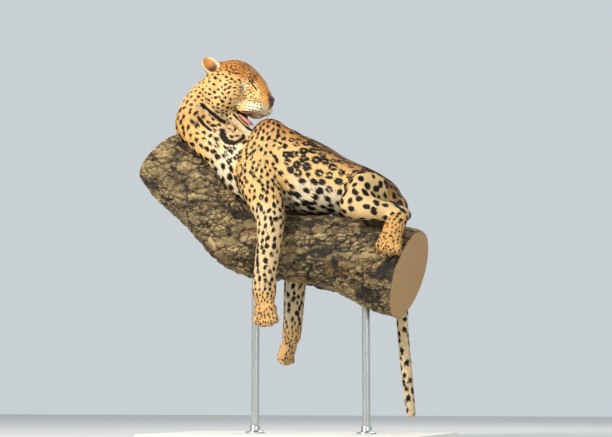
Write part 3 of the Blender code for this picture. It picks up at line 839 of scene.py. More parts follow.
def coat_group():
    """Shared by skin and coat: ground colour, dark patches and hair by hair tone."""
    tree, given, result = new_group("leopard_markings", "ShaderNodeTree",
                                    {"Patch Colour": "Color", "Edge": "Float", "Tone": "Float"},
                                    {"Colour": "Color", "Height": "Float"})
    ground = stored(tree, "ground", "Color")
    ink = stored(tree, "ink")
    where = made(tree, "ShaderNodeTexCoord", "Object")
    noise = made(tree, "ShaderNodeTexNoise", "Fac", {"Scale": 320.0, "Detail": 3.0, "Vector": where})
    low = made(tree, "ShaderNodeMath", "Value", {0: given["Edge"], 1: -1.0}, operation="MULTIPLY")
    mask = made(tree, "ShaderNodeMapRange", "Result",
                {"Value": ink, "From Min": low, "From Max": given["Edge"]}, interpolation_type="SMOOTHSTEP")
    least = made(tree, "ShaderNodeMath", "Value", {0: 1.0, 1: given["Tone"]}, operation="SUBTRACT")
    most = made(tree, "ShaderNodeMath", "Value", {0: 1.0, 1: given["Tone"]}, operation="ADD")
    shade = made(tree, "ShaderNodeMapRange", "Result",
                 {"Value": noise, "From Min": 0.3, "From Max": 0.7, "To Min": least, "To Max": most})
    toned = made(tree, "ShaderNodeVectorMath", "Vector",
                 {0: mixed(tree, mask, ground, given["Patch Colour"]), "Scale": shade}, operation="SCALE")
    tree.links.new(toned, result["Colour"])
    tree.links.new(noise, result["Height"])
    return tree


MARKINGS = coat_group()


def coat_material(name, edge, tone, bump):
    """Fur that reads its colours from the mesh."""
    mat = plain_material(name, (0.8, 0.8, 0.8), 0.62)
    tree = mat.node_tree
    shader = tree.nodes["Principled BSDF"]
    shader.inputs["Specular IOR Level"].default_value = 0.25
    marks = added(tree, "ShaderNodeGroup", {"Patch Colour": (*SOOT, 1.0), "Edge": edge, "Tone": tone},
                  node_tree=MARKINGS)
    tree.links.new(marks.outputs["Colour"], shader.inputs["Base Color"])
    if bump > 0:
        relief = made(tree, "ShaderNodeBump", "Normal", {"Distance": bump, "Height": marks.outputs["Height"]})
        tree.links.new(relief, shader.inputs["Normal"])
    return mat


store(skin.data, "ground", skin_ground)
store(skin.data, "ink", skin_ink)
skin.data.materials.clear()
skin.data.materials.append(coat_material("short_fur_skin", 0.7, 0.22, 0.0012))
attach(skin, "root")
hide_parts(*FLESH)


# Coat
# Short flat tufts all over the skin, lying from nose to tail and down the legs,
# finest on the face and the paws.
TUFTS = 380000
TUFTS_A_PIECE = 60000
COAT_SEED = 23
TUFT_SINK = 0.0006

corner = skin_places[triangles]
area = 0.5 * np.linalg.norm(np.cross(corner[:, 1] - corner[:, 0], corner[:, 2] - corner[:, 0]), axis=1)
thick = 0.10 * length + 0.0003
no_hair = np.maximum(eye_near, on_head * ramp(local[:, 0], 0.122, 0.124) * ramp(side, 0.022, 0.020)
                     * ramp(local[:, 2], -0.028, -0.026) * ramp(local[:, 2], 0.014, 0.012))
need = area * ((1 - no_hair) / (length * thick))[triangles].min(axis=1)
coat_rng = np.random.default_rng(COAT_SEED)
picks = coat_rng.choice(len(triangles), TUFTS, p=need / need.sum())
weights = coat_rng.dirichlet((1, 1, 1), TUFTS)


def spread(values):
    """A vertex value at each tuft's root."""
    chosen = values[triangles[picks]]
    if values.ndim == 1:
        return np.sum(chosen * weights, axis=1)
    return np.sum(chosen * weights[:, :, None], axis=1)


roots = spread(skin_places)
root_up = spread(normals)
root_up /= np.linalg.norm(root_up, axis=1)[:, None]
root_lie = flattened(spread(lie), root_up)
root_side = np.cross(root_up, root_lie)
root_length = spread(length) * coat_rng.uniform(0.75, 1.20, TUFTS)
root_thick = spread(thick) * coat_rng.uniform(0.7, 1.3, TUFTS)
turn = coat_rng.normal(0, 0.16, TUFTS)
way = root_lie * np.cos(turn)[:, None] + root_side * np.sin(turn)[:, None]
across = np.cross(root_up, way)
lift = LIFT * coat_rng.uniform(0.7, 1.35, TUFTS)
root_fields = {name: spread(values) for name, values in fields.items()}
root_ink = dark_at(roots, spread(plain))
root_ground = ground_at(root_fields)
grain = coat_rng.normal(1.0, 0.09, TUFTS)[:, None]
root_ground = np.clip(root_ground * grain, 0, 1)

SHEETS = ("head", "ears", "neck", "torso", "tail", "arm_left", "arm_right", "leg_left", "leg_right")
LINES = {"neck": SPINE, "torso": SPINE, "tail": TAIL_LINE, "arm_left": ARM_LEFT, "arm_right": ARM_RIGHT,
         "leg_left": LEG_LEFT, "leg_right": LEG_RIGHT,
         "head": [from_head((0.14, 0, -0.01)).tolist(), from_head((-0.14, 0, -0.01)).tolist()],
         "ears": [from_head((-0.02, 0, 0.0)).tolist(), from_head((-0.15, 0, 0.10)).tolist()]}


def unwrapped(points, upright, owner):
    """Places on a flat pattern: a sheet for each part, round it and along it."""
    out = np.zeros((len(points), 2))
    for index, name in enumerate(SHEETS):
        mine = owner == index
        line = np.array(LINES[name], float)
        gap, along, heading = beside(points[mine], line)
        total = np.linalg.norm(np.diff(line, axis=0), axis=1).sum()
        axis = (line[-1] - line[0]) / np.linalg.norm(line[-1] - line[0])
        first = np.cross(axis, (0.0, 1.0, 0.001))
        first /= np.linalg.norm(first)
        second = np.cross(axis, first)
        turns = 2 if name == "ears" else 1
        round_part = np.arctan2(upright[mine] @ second, upright[mine] @ first) / (turns * 2 * math.pi)
        if name == "ears":
            round_part = round_part * 0.9 + np.where(in_head(points[mine])[:, 1] > 0, 0.25, -0.25)
        column, row = index % 3, index // 3
        out[mine, 0] = (column + 0.5 + 0.92 * round_part) / 3
        out[mine, 1] = (row + 0.04 + 0.92 * np.clip(along / total, 0, 1)) / 3
    return out


owner = np.argmax(np.stack([spread(share[name]) for name in SHEETS]), axis=0)
root_flat = unwrapped(roots, root_up, owner)
coat_mat = coat_material("short_fur_coat", 0.25, 0.0, 0.0)


def blades(name, chosen):
    """One mesh of flat tapered tufts, each five corners in three triangles."""
    count = len(chosen)
    root = roots[chosen] - root_up[chosen] * TUFT_SINK
    half = across[chosen] * (0.5 * root_thick[chosen])[:, None]
    long = root_length[chosen]
    forward = way[chosen]
    raised = root_up[chosen] * (long * np.sin(lift[chosen]))[:, None]
    middle = root + forward * (0.52 * long)[:, None] + raised * 0.66
    tip = root + forward * (long * np.cos(lift[chosen]))[:, None] + raised
    rows = np.stack([root - half * 0.8, root + half * 0.8, middle + half, middle - half, tip], axis=1)
    base = np.arange(count)[:, None] * 5
    faces = np.concatenate([base + (0, 1, 2), base + (0, 2, 3), base + (3, 2, 4)], axis=1).reshape(-1, 3)
    mesh = bpy.data.meshes.new(name)
    mesh.vertices.add(count * 5)
    mesh.vertices.foreach_set("co", rows.ravel())
    mesh.loops.add(len(faces) * 3)
    mesh.loops.foreach_set("vertex_index", faces.ravel())
    mesh.polygons.add(len(faces))
    mesh.polygons.foreach_set("loop_start", np.arange(len(faces)) * 3)
    mesh.update(calc_edges=True)
    mesh.shade_smooth()
    # each tuft is painted darker at its root as painted shade among the hairs, and lighter at its tip as painted
    # light
    shade = np.tile(np.array((0.80, 0.80, 0.97, 0.97, 1.08)), count)[:, None]
    store(mesh, "ground", np.clip(np.repeat(root_ground[chosen], 5, axis=0) * shade, 0, 1))
    store(mesh, "ink", np.repeat(root_ink[chosen], 5))
    offsets = np.array(((-1, -1), (1, -1), (1, 0.3), (-1, 0.3), (0, 1))) * 0.0015
    flat = (root_flat[chosen][:, None, :] + offsets[None]).reshape(-1, 2)
    uv = mesh.uv_layers.new(name="OFBake")
    uv.data.foreach_set("uv", flat[faces.ravel()].astype(np.float32).ravel())
    mesh.materials.append(coat_mat)
    piece = shown(name, mesh)
    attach(piece, "root")
    return piece


order = np.argsort(owner, kind="stable")
for number, start in enumerate(range(0, TUFTS, TUFTS_A_PIECE)):
    blades("coat_" + str(number + 1), order[start:start + TUFTS_A_PIECE])


# Eyes
# Glossy globes with a round pupil in an amber iris, turned down towards the
# shoulder, between black lid rims that close over their upper part.
PUPIL_EDGE = math.radians(13)
IRIS_EDGE = math.radians(43)
RIM = 0.0015
RIM_RISE = 0.0011


def grain_group():
    """Shared by the smaller materials: two tones of a stretched noise."""
    tree, given, result = new_group(
        "two_tone_grain", "ShaderNodeTree",
        {"Stretch": "Vector", "Scale": "Float", "Dark": "Color", "Light": "Color"},
        {"Colour": "Color", "Height": "Float"})
    where = made(tree, "ShaderNodeTexCoord", "Object")
    turned = made(tree, "ShaderNodeMapping", "Vector", {"Vector": where, "Scale": given["Stretch"]})
    noise = made(tree, "ShaderNodeTexNoise", "Fac",
                 {"Detail": 7.0, "Vector": turned, "Scale": given["Scale"]})
    span = made(tree, "ShaderNodeMapRange", "Result", {"Value": noise, "From Min": 0.32, "From Max": 0.68})
    tree.links.new(mixed(tree, span, given["Dark"], given["Light"]), result["Colour"])
    tree.links.new(noise, result["Height"])
    return tree


GRAIN = grain_group()


def grained(name, colour, roughness, scale, dark, light, stretch=(1, 1, 1), bump=0.0005, metallic=0.0):
    """A material with two tones of grain, and its relief."""
    mat = plain_material(name, colour, roughness, metallic)
    tree = mat.node_tree
    shader = tree.nodes["Principled BSDF"]
    grain = added(tree, "ShaderNodeGroup", {"Stretch": stretch, "Scale": scale, "Dark": (*paint(*dark), 1.0),
                                            "Light": (*paint(*light), 1.0)}, node_tree=GRAIN)
    relief = made(tree, "ShaderNodeBump", "Normal", {"Distance": bump, "Height": grain.outputs["Height"]})
    tree.links.new(grain.outputs["Colour"], shader.inputs["Base Color"])
    tree.links.new(relief, shader.inputs["Normal"])
    return mat


def globe_material():
    """Pupil, iris and rim by the angle from the line of sight."""
    mat = plain_material("amber_eye", (0.2, 0.1, 0.02), 0.08)
    tree = mat.node_tree
    shader = tree.nodes["Principled BSDF"]
    shader.inputs["Coat Weight"].default_value = 1.0
    shader.inputs["Coat Roughness"].default_value = 0.03
    tones = added(tree, "ShaderNodeValToRGB", {"Fac": stored(tree, "sight")})
    stops = ((0.00, (0.004, 0.003, 0.003)), (PUPIL_EDGE, (0.004, 0.003, 0.003)),
             (PUPIL_EDGE + 0.03, (0.30, 0.16, 0.02)), (IRIS_EDGE - 0.12, (0.42, 0.25, 0.05)),
             (IRIS_EDGE, (0.05, 0.03, 0.01)), (IRIS_EDGE + 0.1, (0.16, 0.10, 0.06)))
    ramp_stops = tones.color_ramp.elements
    while len(ramp_stops) < len(stops):
        ramp_stops.new(0.5)
    for stop, (place, colour) in zip(ramp_stops, stops):
        stop.position = place
        stop.color = (*colour, 1.0)
    tree.links.new(tones.outputs["Color"], shader.inputs["Base Color"])
    return mat


def ring_body(name, rings, ends=True):
    """A smooth mesh through rings of points, with flat ends or else joined end to end."""
    bm = bmesh.new()
    rows = [[bm.verts.new(point) for point in ring] for ring in rings]
    for low, high in zip(rows, rows[1:] if ends else rows[1:] + rows[:1]):
        for k in range(len(low)):
            after = (k + 1) % len(low)
            bm.faces.new((low[k], low[after], high[after], high[k]))
    if ends:
        bm.faces.new(rows[0])
        bm.faces.new(rows[-1])
    bmesh.ops.recalc_face_normals(bm, faces=bm.faces)
    mesh = mesh_from(bm, name)
    mesh.shade_smooth()
    return mesh


def tube(name, line, radii, sides=8):
    """A closed tube through points, with a radius at each."""
    line = np.array(line, float)
    rings = []
    first = None
    for place, slope, radius in zip(line, np.gradient(line, axis=0), radii):
        way = Vector(slope).normalized()
        first = (way.orthogonal() if first is None else first - first.dot(way) * way).normalized()
        second = way.cross(first)
        turns = [2 * math.pi * k / sides for k in range(sides)]
        rings.append([Vector(place) + (first * math.cos(turn) + second * math.sin(turn)) * float(radius)
                      for turn in turns])
    return ring_body(name, rings)


def joined(name, meshes):
    """One smooth mesh from several."""
    bm = bmesh.new()
    for mesh in meshes:
        bm.from_mesh(mesh)
        bpy.data.meshes.remove(mesh)
    out = mesh_from(bm, name)
    out.shade_smooth()
    return out


def placed(name, mesh, mat, slot, *nodes):
    """A finished piece on the one body, with its material; its slot is not used."""
    mesh.materials.clear()
    mesh.materials.append(mat)
    obj = shown(name, mesh)
    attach(obj, "root")
    if nodes:
        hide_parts(*nodes)
    return obj


eye_mat = globe_material()
rim_mat = grained("black_lid", (0.01, 0.01, 0.01), 0.62, 420.0, (0.06, 0.04, 0.035), (0.12, 0.085, 0.07))
for label, sign in EYE_SIDES:
    centre, outward, inner, upward = eye_axes(sign)
    globe_bm = bmesh.new()
    bmesh.ops.create_uvsphere(globe_bm, u_segments=40, v_segments=28, radius=GLOBE)
    globe_mesh = mesh_from(globe_bm, "globe")
    globe_places = corners(globe_mesh)
    sight = unit(outward * 0.85 + inner * 0.20 - upward * 0.06)
    store(globe_mesh, "sight", np.arccos(np.clip(globe_places @ sight / GLOBE, -1, 1)))
    globe_mesh.vertices.foreach_set("co", (globe_places + centre).ravel())
    globe_mesh.shade_smooth()
    placed("globe_" + label, globe_mesh, eye_mat, "eye_amber", "eye_" + label)
    rims = []
    for top in (True, False):
        across = np.linspace(-1.08, 1.12, 25) * OPEN_LONG
        height = lid_height(across, top)
        reach = (GLOBE + RIM_RISE) * (1 + 0.05 * np.clip(np.abs(across) / OPEN_LONG - 0.9, 0, 1))
        level = np.cos(across)[:, None] * outward + np.sin(across)[:, None] * inner
        line = centre + reach[:, None] * (np.cos(height)[:, None] * level + np.sin(height)[:, None] * upward)
        taper = 1 - 0.75 * np.clip(np.abs(across) / OPEN_LONG - 0.55, 0, 1) ** 1.5
        radii = RIM * (1.25 if top else 0.9) * taper
        rims.append(tube("rim", line, radii))
    placed("lids_" + label, joined("lids", rims), rim_mat, "fur_gold")


# Nose
# Bare leather over the tip of the nose, pebbled and moist, with two comma nostrils and a groove that runs down to
# the lip; the nostrils, the creases of their wings and the groove are painted near black as painted shade.
NOSE_TOP = 0.0125
NOSE_BOTTOM = -0.0360
NOSE_COLUMNS = 49
NOSE_ROWS = 45

skin_tree = BVHTree.FromPolygons([Vector(row) for row in skin_places], triangles.tolist())
nose_bm = bmesh.new()
nose_rows = []
nose_hollow_shade = []
for row in np.linspace(0, 1, NOSE_ROWS):
    line = []
    half = np.interp(row, (0, 0.12, 0.38, 0.62, 0.80, 1.0), (0.0110, 0.0165, 0.0185, 0.0120, 0.0040, 0.0022))
    for column in np.linspace(-1, 1, NOSE_COLUMNS):
        y = half * column
        z = NOSE_TOP + (NOSE_BOTTOM - NOSE_TOP) * row
        start = from_head((0.20, y, z))
        hit = skin_tree.ray_cast(Vector(start), Vector(-ahead), 0.2)
        place = np.array(hit[0]) if hit[0] is not None else from_head((0.12, y, z))
        rise = 0.0026 * (1 - abs(column) ** 3) * (1 - abs(2 * row - 0.9) ** 4 * 0.8) - 0.0004
        hole = math.exp(-(((abs(y) - 0.0088) / 0.0036) ** 2 + ((z + 0.0045) / 0.0030) ** 2))
        off = abs(y) - 0.0145
        wing = math.exp(-((off / 0.0040) ** 2 + ((z + 0.0090 - 0.25 * off) / 0.0018) ** 2))
        groove = math.exp(-((y / 0.0011) ** 2)) * (z < -0.008)
        dent = 0.0052 * hole + 0.0030 * wing + 0.0014 * groove
        rise += float(nose_set(np.array([(0.12, y, z)]))[0])
        dent = min(dent, max(0.0, rise - 0.0006))
        line.append(nose_bm.verts.new(Vector(place + ahead * float(rise - dent))))
        # painted shade: how far each point lies in a nostril, a wing crease or the groove
        nose_hollow_shade.append(min(1.0, hole * 1.3 + wing + 0.6 * groove))
    nose_rows.append(line)
for low, high in zip(nose_rows, nose_rows[1:]):
    for k in range(NOSE_COLUMNS - 1):
        nose_bm.faces.new((low[k], low[k + 1], high[k + 1], high[k]))
bmesh.ops.recalc_face_normals(nose_bm, faces=nose_bm.faces)
nose_bm.normal_update()
if sum((face.normal.dot(Vector(ahead)) for face in nose_bm.faces), 0.0) < 0:
    bmesh.ops.reverse_faces(nose_bm, faces=nose_bm.faces)
nose_mesh = mesh_from(nose_bm, "nose_leather")
store(nose_mesh, "nostril", np.array(nose_hollow_shade))
nose_mesh.shade_smooth()
nose_mat = grained("nose_leather", (0.1, 0.05, 0.04), 0.52, 900.0, (0.24, 0.15, 0.13), (0.40, 0.25, 0.21),
                   bump=0.0006)
nose_tree = nose_mat.node_tree
nose_tone = nose_tree.nodes["Principled BSDF"].inputs["Base Color"]
# the leather is painted near black in its hollows as painted shade
shaded_leather = mixed(nose_tree, stored(nose_tree, "nostril"), nose_tone.links[0].from_socket, (0.004, 0.002, 0.002, 1.0))
nose_tree.links.new(shaded_leather, nose_tone)
placed("nose_leather", nose_mesh, nose_mat, "tongue_pink")


# Mouth
# The wet inside of the lips between the jaws, its pink painted dark as painted shade, and the tongue that lies out
# over the lower lip to the shoulder, grooved and set with fine horny points.
LINING = [(0.004, 0.0, -0.078, 0.016, 0.010), (0.026, 0.0, -0.083, 0.023, 0.016),
          (0.044, 0.0, -0.087, 0.022, 0.018), (0.062, 0.0, -0.089, 0.016, 0.015)]
TONGUE_LINE = [(0.024, 0.000, -0.071, 0.0186, 0.0074), (0.055, -0.002, -0.087, 0.0196, 0.0066),
               (0.083, -0.008, -0.095, 0.0186, 0.0058), (0.099, -0.013, -0.098, 0.0150, 0.0048)]


def oval_body(name, stations, steps, sides, groove=0.0, ribs=0.0):
    """A closed body of oval rings in the head's frame, with a groove or ribs."""
    stations = np.array(stations, float)
    rows = np.linspace(0, len(stations) - 1, steps)
    table = np.column_stack([np.interp(rows, np.arange(len(stations)), stations[:, k]) for k in range(5)])
    rings = []
    for step, (x, y, z, wide, tall) in enumerate(table):
        end = min(step, steps - 1 - step) / (0.22 * steps)
        scale = math.sqrt(max(0.02, 1 - max(0.0, 1 - end) ** 2))
        swell = 1 + ribs * math.sin(step * 1.6)
        ring = []
        for k in range(sides):
            turn = 2 * math.pi * k / sides
            across = wide * scale * math.cos(turn)
            up = tall * scale * swell * math.sin(turn)
            if up > 0:
                up -= groove * math.exp(-(across / 0.004) ** 2)
            ring.append(Vector(from_head((x, y + across, z + up))))
        rings.append(ring)
    return ring_body(name, rings)


# the mouth's lining is painted dark red-brown as painted shade inside the mouth
shaded_lining_mat = grained("shaded_mouth_lining", (0.03, 0.015, 0.015), 0.30, 160.0, (0.10, 0.06, 0.06),
                     (0.26, 0.13, 0.12), bump=0.001)
placed("shaded_mouth_lining", oval_body("shaded_mouth_lining", LINING, 40, 32, ribs=0.03), shaded_lining_mat, "tongue_pink")
tongue_mat = grained("tongue", (0.5, 0.2, 0.2), 0.40, 700.0, (0.74, 0.42, 0.40), (0.90, 0.60, 0.57),
                     bump=0.0010)
placed("tongue_flesh", oval_body("tongue_flesh", TONGUE_LINE, 48, 36, groove=0.0022), tongue_mat,
       "tongue_pink", "tongue")


# Whiskers
# Stiff white hairs that grow from the rows of dots on the upper lip and a few
# from the brows, each a thin tapered curve set on its root.
WHISKER_SEED = 3
WHISKER_LENGTH = 0.085
WHISKER_RADIUS = 0.00035


def realized(tree, instances, mat):
    """Real copies of instances, in one material."""
    real = made(tree, "GeometryNodeRealizeInstances", "Geometry", {"Geometry": instances})
    return made(tree, "GeometryNodeSetMaterial", "Geometry", {"Geometry": real, "Material": mat})


def run_tree(obj, tree, values):
    """Runs a node tree on an object with values for its inputs, and keeps the result."""
    setter = obj.modifiers.new("Set", "NODES")
    setter.node_group = tree
    for item in tree.interface.items_tree:
        if item.name in values:
            setter[item.identifier] = values[item.name]
    settled(obj)


def cast_on_skin(own, way, reach):
    """Where a ray of the head's frame meets the skin, or nothing."""
    return skin_tree.ray_cast(Vector(from_head(own)), Vector(head_matrix @ np.array(way)), reach)[0]


def whisker_tree(mat):
    """Puts a bent tapered hair on each root point, along the root's own way."""
    tree, given, result = new_group("whiskers", "GeometryNodeTree",
                                    {"Roots": "Geometry", "Length": "Float", "Radius": "Float"},
                                    {"Hairs": "Geometry"})
    bend = made(tree, "GeometryNodeCurveQuadraticBezier", "Curve",
                {"Resolution": 7, "Start": (0.0, 0.0, 0.0), "Middle": (0.0, 0.0, 0.5),
                 "End": (0.16, 0.0, 0.96)})
    span = made(tree, "ShaderNodeCombineXYZ", "Vector", dict.fromkeys("XYZ", given["Length"]))
    size = made(tree, "GeometryNodeTransform", "Geometry", {"Geometry": bend, "Scale": span})
    along = made(tree, "GeometryNodeSplineParameter", "Factor")
    taper = made(tree, "ShaderNodeMapRange", "Result", {"To Min": 1.0, "To Max": 0.15, "Value": along})
    thick = made(tree, "GeometryNodeSetCurveRadius", "Curve", {"Curve": size, "Radius": taper})
    ring = made(tree, "GeometryNodeCurvePrimitiveCircle", "Curve",
                {"Resolution": 5, "Radius": given["Radius"]})
    skinned = added(tree, "GeometryNodeCurveToMesh",
                    {"Fill Caps": True, "Curve": thick, "Profile Curve": ring})
    if "Scale" in skinned.inputs:
        tree.links.new(taper, skinned.inputs["Scale"])
    way, grow = (made(tree, "GeometryNodeInputNamedAttribute", "Attribute", {"Name": name}, data_type=kind)
                 for name, kind in (("way", "FLOAT_VECTOR"), ("grow", "FLOAT")))
    aligned = made(tree, "FunctionNodeAlignRotationToVector", "Rotation", {"Vector": way}, axis="Z")
    setting = made(tree, "GeometryNodeInstanceOnPoints", "Instances",
                   {"Points": given["Roots"], "Instance": skinned.outputs["Mesh"], "Rotation": aligned,
                    "Scale": grow})
    tree.links.new(realized(tree, setting, mat), result["Hairs"])
    return tree


whisker_rng = np.random.default_rng(WHISKER_SEED)
whisker_roots = []
whisker_ways = []
whisker_sizes = []
for _, sign in EYE_SIDES:
    for row in range(4):
        for step in range(5):
            x = 0.112 - 0.0085 * step - 0.002 * row
            z = -0.026 - 0.0085 * row
            root = cast_on_skin((x, sign * 0.12, z), (0.0, -sign, 0.0), 0.2)
            if root is None:
                continue
            whisker_roots.append(tuple(root))
            way = head_matrix @ unit((0.05 - 0.16 * step, sign * 1.0, -0.30 - 0.12 * row))
            whisker_ways.append(unit(way + whisker_rng.normal(0, 0.08, 3)))
            whisker_sizes.append(whisker_rng.uniform(0.55, 1.1) * (0.6 + 0.12 * step))
    for step in range(4):
        root = cast_on_skin((0.050 - 0.004 * step, sign * (0.026 + 0.004 * step), 0.2), (0.0, 0.0, -1.0), 0.3)
        if root is not None:
            whisker_roots.append(tuple(root))
            whisker_ways.append(head_matrix @ unit((-0.1 - 0.15 * step, sign * 0.6, 0.9)))
            whisker_sizes.append(whisker_rng.uniform(0.35, 0.6))
root_mesh = bpy.data.meshes.new("whiskers")
root_mesh.from_pydata(whisker_roots, [], [])
way_layer = root_mesh.attributes.new("way", "FLOAT_VECTOR", "POINT")
way_layer.data.foreach_set("vector", np.array(whisker_ways, np.float32).ravel())
store(root_mesh, "grow", np.array(whisker_sizes))
whiskers = shown("whiskers", root_mesh)
whisker_mat = grained("whisker_white", (0.8, 0.8, 0.7), 0.35, 260.0, (0.84, 0.81, 0.74), (0.96, 0.94, 0.90))
run_tree(whiskers, whisker_tree(whisker_mat), {"Length": WHISKER_LENGTH, "Radius": WHISKER_RADIUS})
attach(whiskers, "root")


# Limb
# A cut length of a rough old limb: plates of bark between deep cracks, three
# old knots, and sawn ends that show the growth rings.
BARK_VOXEL = 0.0048
PLATES = 1500
CRACK_DEPTH = 0.0050
LUMP_DEPTH = 0.0060
KNOTS = [(-0.40, -0.110, 0.900, 0.050), (-0.06, -0.120, 0.660, 0.042), (0.25, -0.150, 0.590, 0.055)]
LIMB_ENDS = [((-0.535, 0.0, 1.050), (-0.707, 0.0, 0.707)), ((0.400, 0.0, 0.588), (0.949, 0.0, -0.316))]

bark = shown("bark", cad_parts["perch"].data.copy())
bark.data.transform(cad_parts["perch"].matrix_world)
bark.data.materials.clear()
remeshed(bark, BARK_VOXEL)
bark_places = corners(bark.data)
raw_normals = normals_of(bark_places, triangles_of(bark.data))
cut = np.zeros(len(bark_places))
rings_out = np.zeros(len(bark_places))
rim_near = np.ones(len(bark_places))
for place, way in LIMB_ENDS:
    way = unit(way)
    drop = (bark_places - place) @ way
    on_end = (np.abs(drop) < 0.006) & (raw_normals @ way > 0.75)
    radius = np.linalg.norm(bark_places - place, axis=1)
    cut = np.where(on_end, 1.0, cut)
    uneven = radius + 0.0035 * np.sin(bark_places[:, 1] * 31 + bark_places[:, 2] * 23)
    rings_out = np.where(on_end, uneven, rings_out)
    rim_near = np.minimum(rim_near, ramp(np.abs(drop), 0.0, 0.025) + 0.45)


def lumps(points, size, seed):
    """Smooth noise from -1 to 1 with lumps of a given size."""
    chance = np.random.default_rng(seed)
    ways = wave_set(chance, 9, size, 0.5, 1.5)
    return np.sin(points @ ways.T + chance.uniform(0, 6.28, 9)).sum(axis=1) / 4.5


def crack_field(points, count, stretch, seed, width):
    """1 in the cracks between cells that are longer along the limb."""
    chance = np.random.default_rng(seed)
    warp = np.column_stack([lumps(points, 0.060, seed + k) * 0.012
                            + lumps(points, 0.016, seed + 5 + k) * 0.0045 for k in (1, 2, 3)])
    scaled = (points + warp) * np.array([stretch, 1.0, 1.0])
    cells = kd_tree(scaled[chance.choice(len(points), count, replace=False)])
    near = np.array([[hit[2] for hit in cells.find_n(point, 2)] for point in scaled])
    return np.exp(-((near[:, 1] - near[:, 0]) / width) ** 2)


wide_cracks = crack_field(bark_places, PLATES // 4, 0.35, 21, 0.0040)
fine_cracks = crack_field(bark_places, PLATES * 2, 0.5, 22, 0.0026)
patchy = 0.35 + 0.65 * ramp(lumps(bark_places, 0.12, 33), -0.4, 0.5)
cracks = np.clip(wide_cracks + 0.75 * fine_cracks * patchy, 0, 1.2)
sink = CRACK_DEPTH * (cracks - 0.10) + LUMP_DEPTH * (0.5 - 0.5 * lumps(bark_places, 0.16, 31))
sink += 0.0022 * lumps(bark_places, 0.040, 32) + 0.0011 * lumps(bark_places, 0.013, 34)
for x, y, z, size in KNOTS:
    away = np.linalg.norm(bark_places - (x, y, z), axis=1) / size
    ring = np.where(away < 1.6, np.cos(away * 9.0) * np.exp(-away ** 2 * 0.8), 0)
    sink += 0.0055 * ring + 0.010 * np.exp(-(away / 0.35) ** 2) - 0.006 * np.exp(-((away - 0.8) / 0.3) ** 2)
sink = np.where(cut > 0, 0.0008, sink * rim_near)
bark_places = bark_places - raw_normals * sink[:, None]
bark.data.vertices.foreach_set("co", bark_places.ravel())
bark.data.update()
bark.data.shade_smooth()
# where the cracks are, for their colour: partly darker bark, partly painted shade
store(bark.data, "crack_bark_and_shade", np.clip(cracks * (1 - cut), 0, 1))
store(bark.data, "cut", cut)
store(bark.data, "ring", rings_out)


def bark_material():
    """Grey-brown plates with warm flecks, cracks and splits painted near black, partly their own darker bark and
    partly painted shade, and rings on the cuts.
    """
    mat = grained("old_bark", (0.2, 0.15, 0.1), 0.92, 22.0, (0.40, 0.34, 0.22), (0.70, 0.60, 0.41),
                  stretch=(0.5, 1, 1), bump=0.004)
    tree = mat.node_tree
    shader = tree.nodes["Principled BSDF"]
    colour = shader.inputs["Base Color"].links[0].from_socket
    where = made(tree, "ShaderNodeMapping", "Vector",
                 {"Scale": (0.5, 1.0, 1.0), "Vector": made(tree, "ShaderNodeTexCoord", "Object")})

    def mask(scale, low, high):
        noise = made(tree, "ShaderNodeTexNoise", "Fac", {"Scale": scale, "Detail": 5.0, "Vector": where})
        return made(tree, "ShaderNodeMapRange", "Result", {"Value": noise, "From Min": low, "From Max": high})

    def worked(operation, *values, **settings):
        return made(tree, "ShaderNodeMath", "Value", enumerate(values), operation=operation, **settings)

    # the cracks are painted near black, partly their darker bark and partly painted shade
    for part, tone in ((mask(9.0, 0.56, 0.72), (0.55, 0.36, 0.20)),
                       (mask(37.0, 0.60, 0.78), (0.62, 0.58, 0.46)),
                       (stored(tree, "crack_bark_and_shade"), (0.13, 0.10, 0.075))):
        colour = mixed(tree, part, colour, (*paint(*tone), 1.0))
    drift = made(tree, "ShaderNodeTexNoise", "Color", {"Scale": 14.0, "Detail": 6.0, "Vector": where})
    pull = made(tree, "ShaderNodeVectorMath", "Vector", {0: drift, 1: (0.07, 0.07, 0.07), 2: where},
                operation="MULTIPLY_ADD")
    splits = made(tree, "ShaderNodeTexVoronoi", "Distance", {"Scale": 58.0, "Vector": pull},
                  feature="DISTANCE_TO_EDGE")
    narrow = made(tree, "ShaderNodeMapRange", "Result",
                  {"Value": splits, "From Min": 0.0, "From Max": 0.15, "To Min": 0.95, "To Max": 0.0})
    on_bark = worked("SUBTRACT", mask(16.0, 0.36, 0.54), stored(tree, "cut"), use_clamp=True)
    broken = worked("MULTIPLY", narrow, on_bark)
    # the fine splits are painted near black, partly their darker bark and partly painted shade
    colour = mixed(tree, broken, colour, (*paint(0.15, 0.115, 0.085), 1.0))
    grained_normal = shader.inputs["Normal"].links[0].from_socket
    groove = made(tree, "ShaderNodeBump", "Normal",
                  {"Distance": 0.0035, "Height": broken, "Normal": grained_normal}, invert=True)
    tree.links.new(groove, shader.inputs["Normal"])
    ring_wave = worked("MULTIPLY", stored(tree, "ring"), 620.0)
    ring_drift = worked("MULTIPLY_ADD", mask(12.0, 0.2, 0.8), 9.0, ring_wave)
    ring_tone = added(tree, "ShaderNodeValToRGB", {"Fac": worked("SINE", ring_drift)})
    for stop, tone in zip(ring_tone.color_ramp.elements, ((0.64, 0.49, 0.32), (0.75, 0.61, 0.43))):
        stop.color = (*paint(*tone), 1.0)
    colour = mixed(tree, stored(tree, "cut"), colour, ring_tone.outputs["Color"])
    tree.links.new(colour, shader.inputs["Base Color"])
    return mat


bark.data.materials.append(bark_material())
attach(bark, "root")
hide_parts("perch")


# Stand
# A satin-painted board and brushed steel rods, each rod held at its foot by a
# turned collar with three slotted screws.
COLLAR = [(0.0125, 0.0), (0.034, 0.0), (0.0345, 0.0012), (0.0345, 0.0045), (0.033, 0.006), (0.020, 0.0085),
          (0.0185, 0.012), (0.0185, 0.026), (0.0172, 0.0285), (0.0125, 0.0285)]
COLLAR_SIDES = 48
SCREW_RING = 0.0265
SCREW_RISE = 0.0072
SCREW_RADIUS = 0.0042

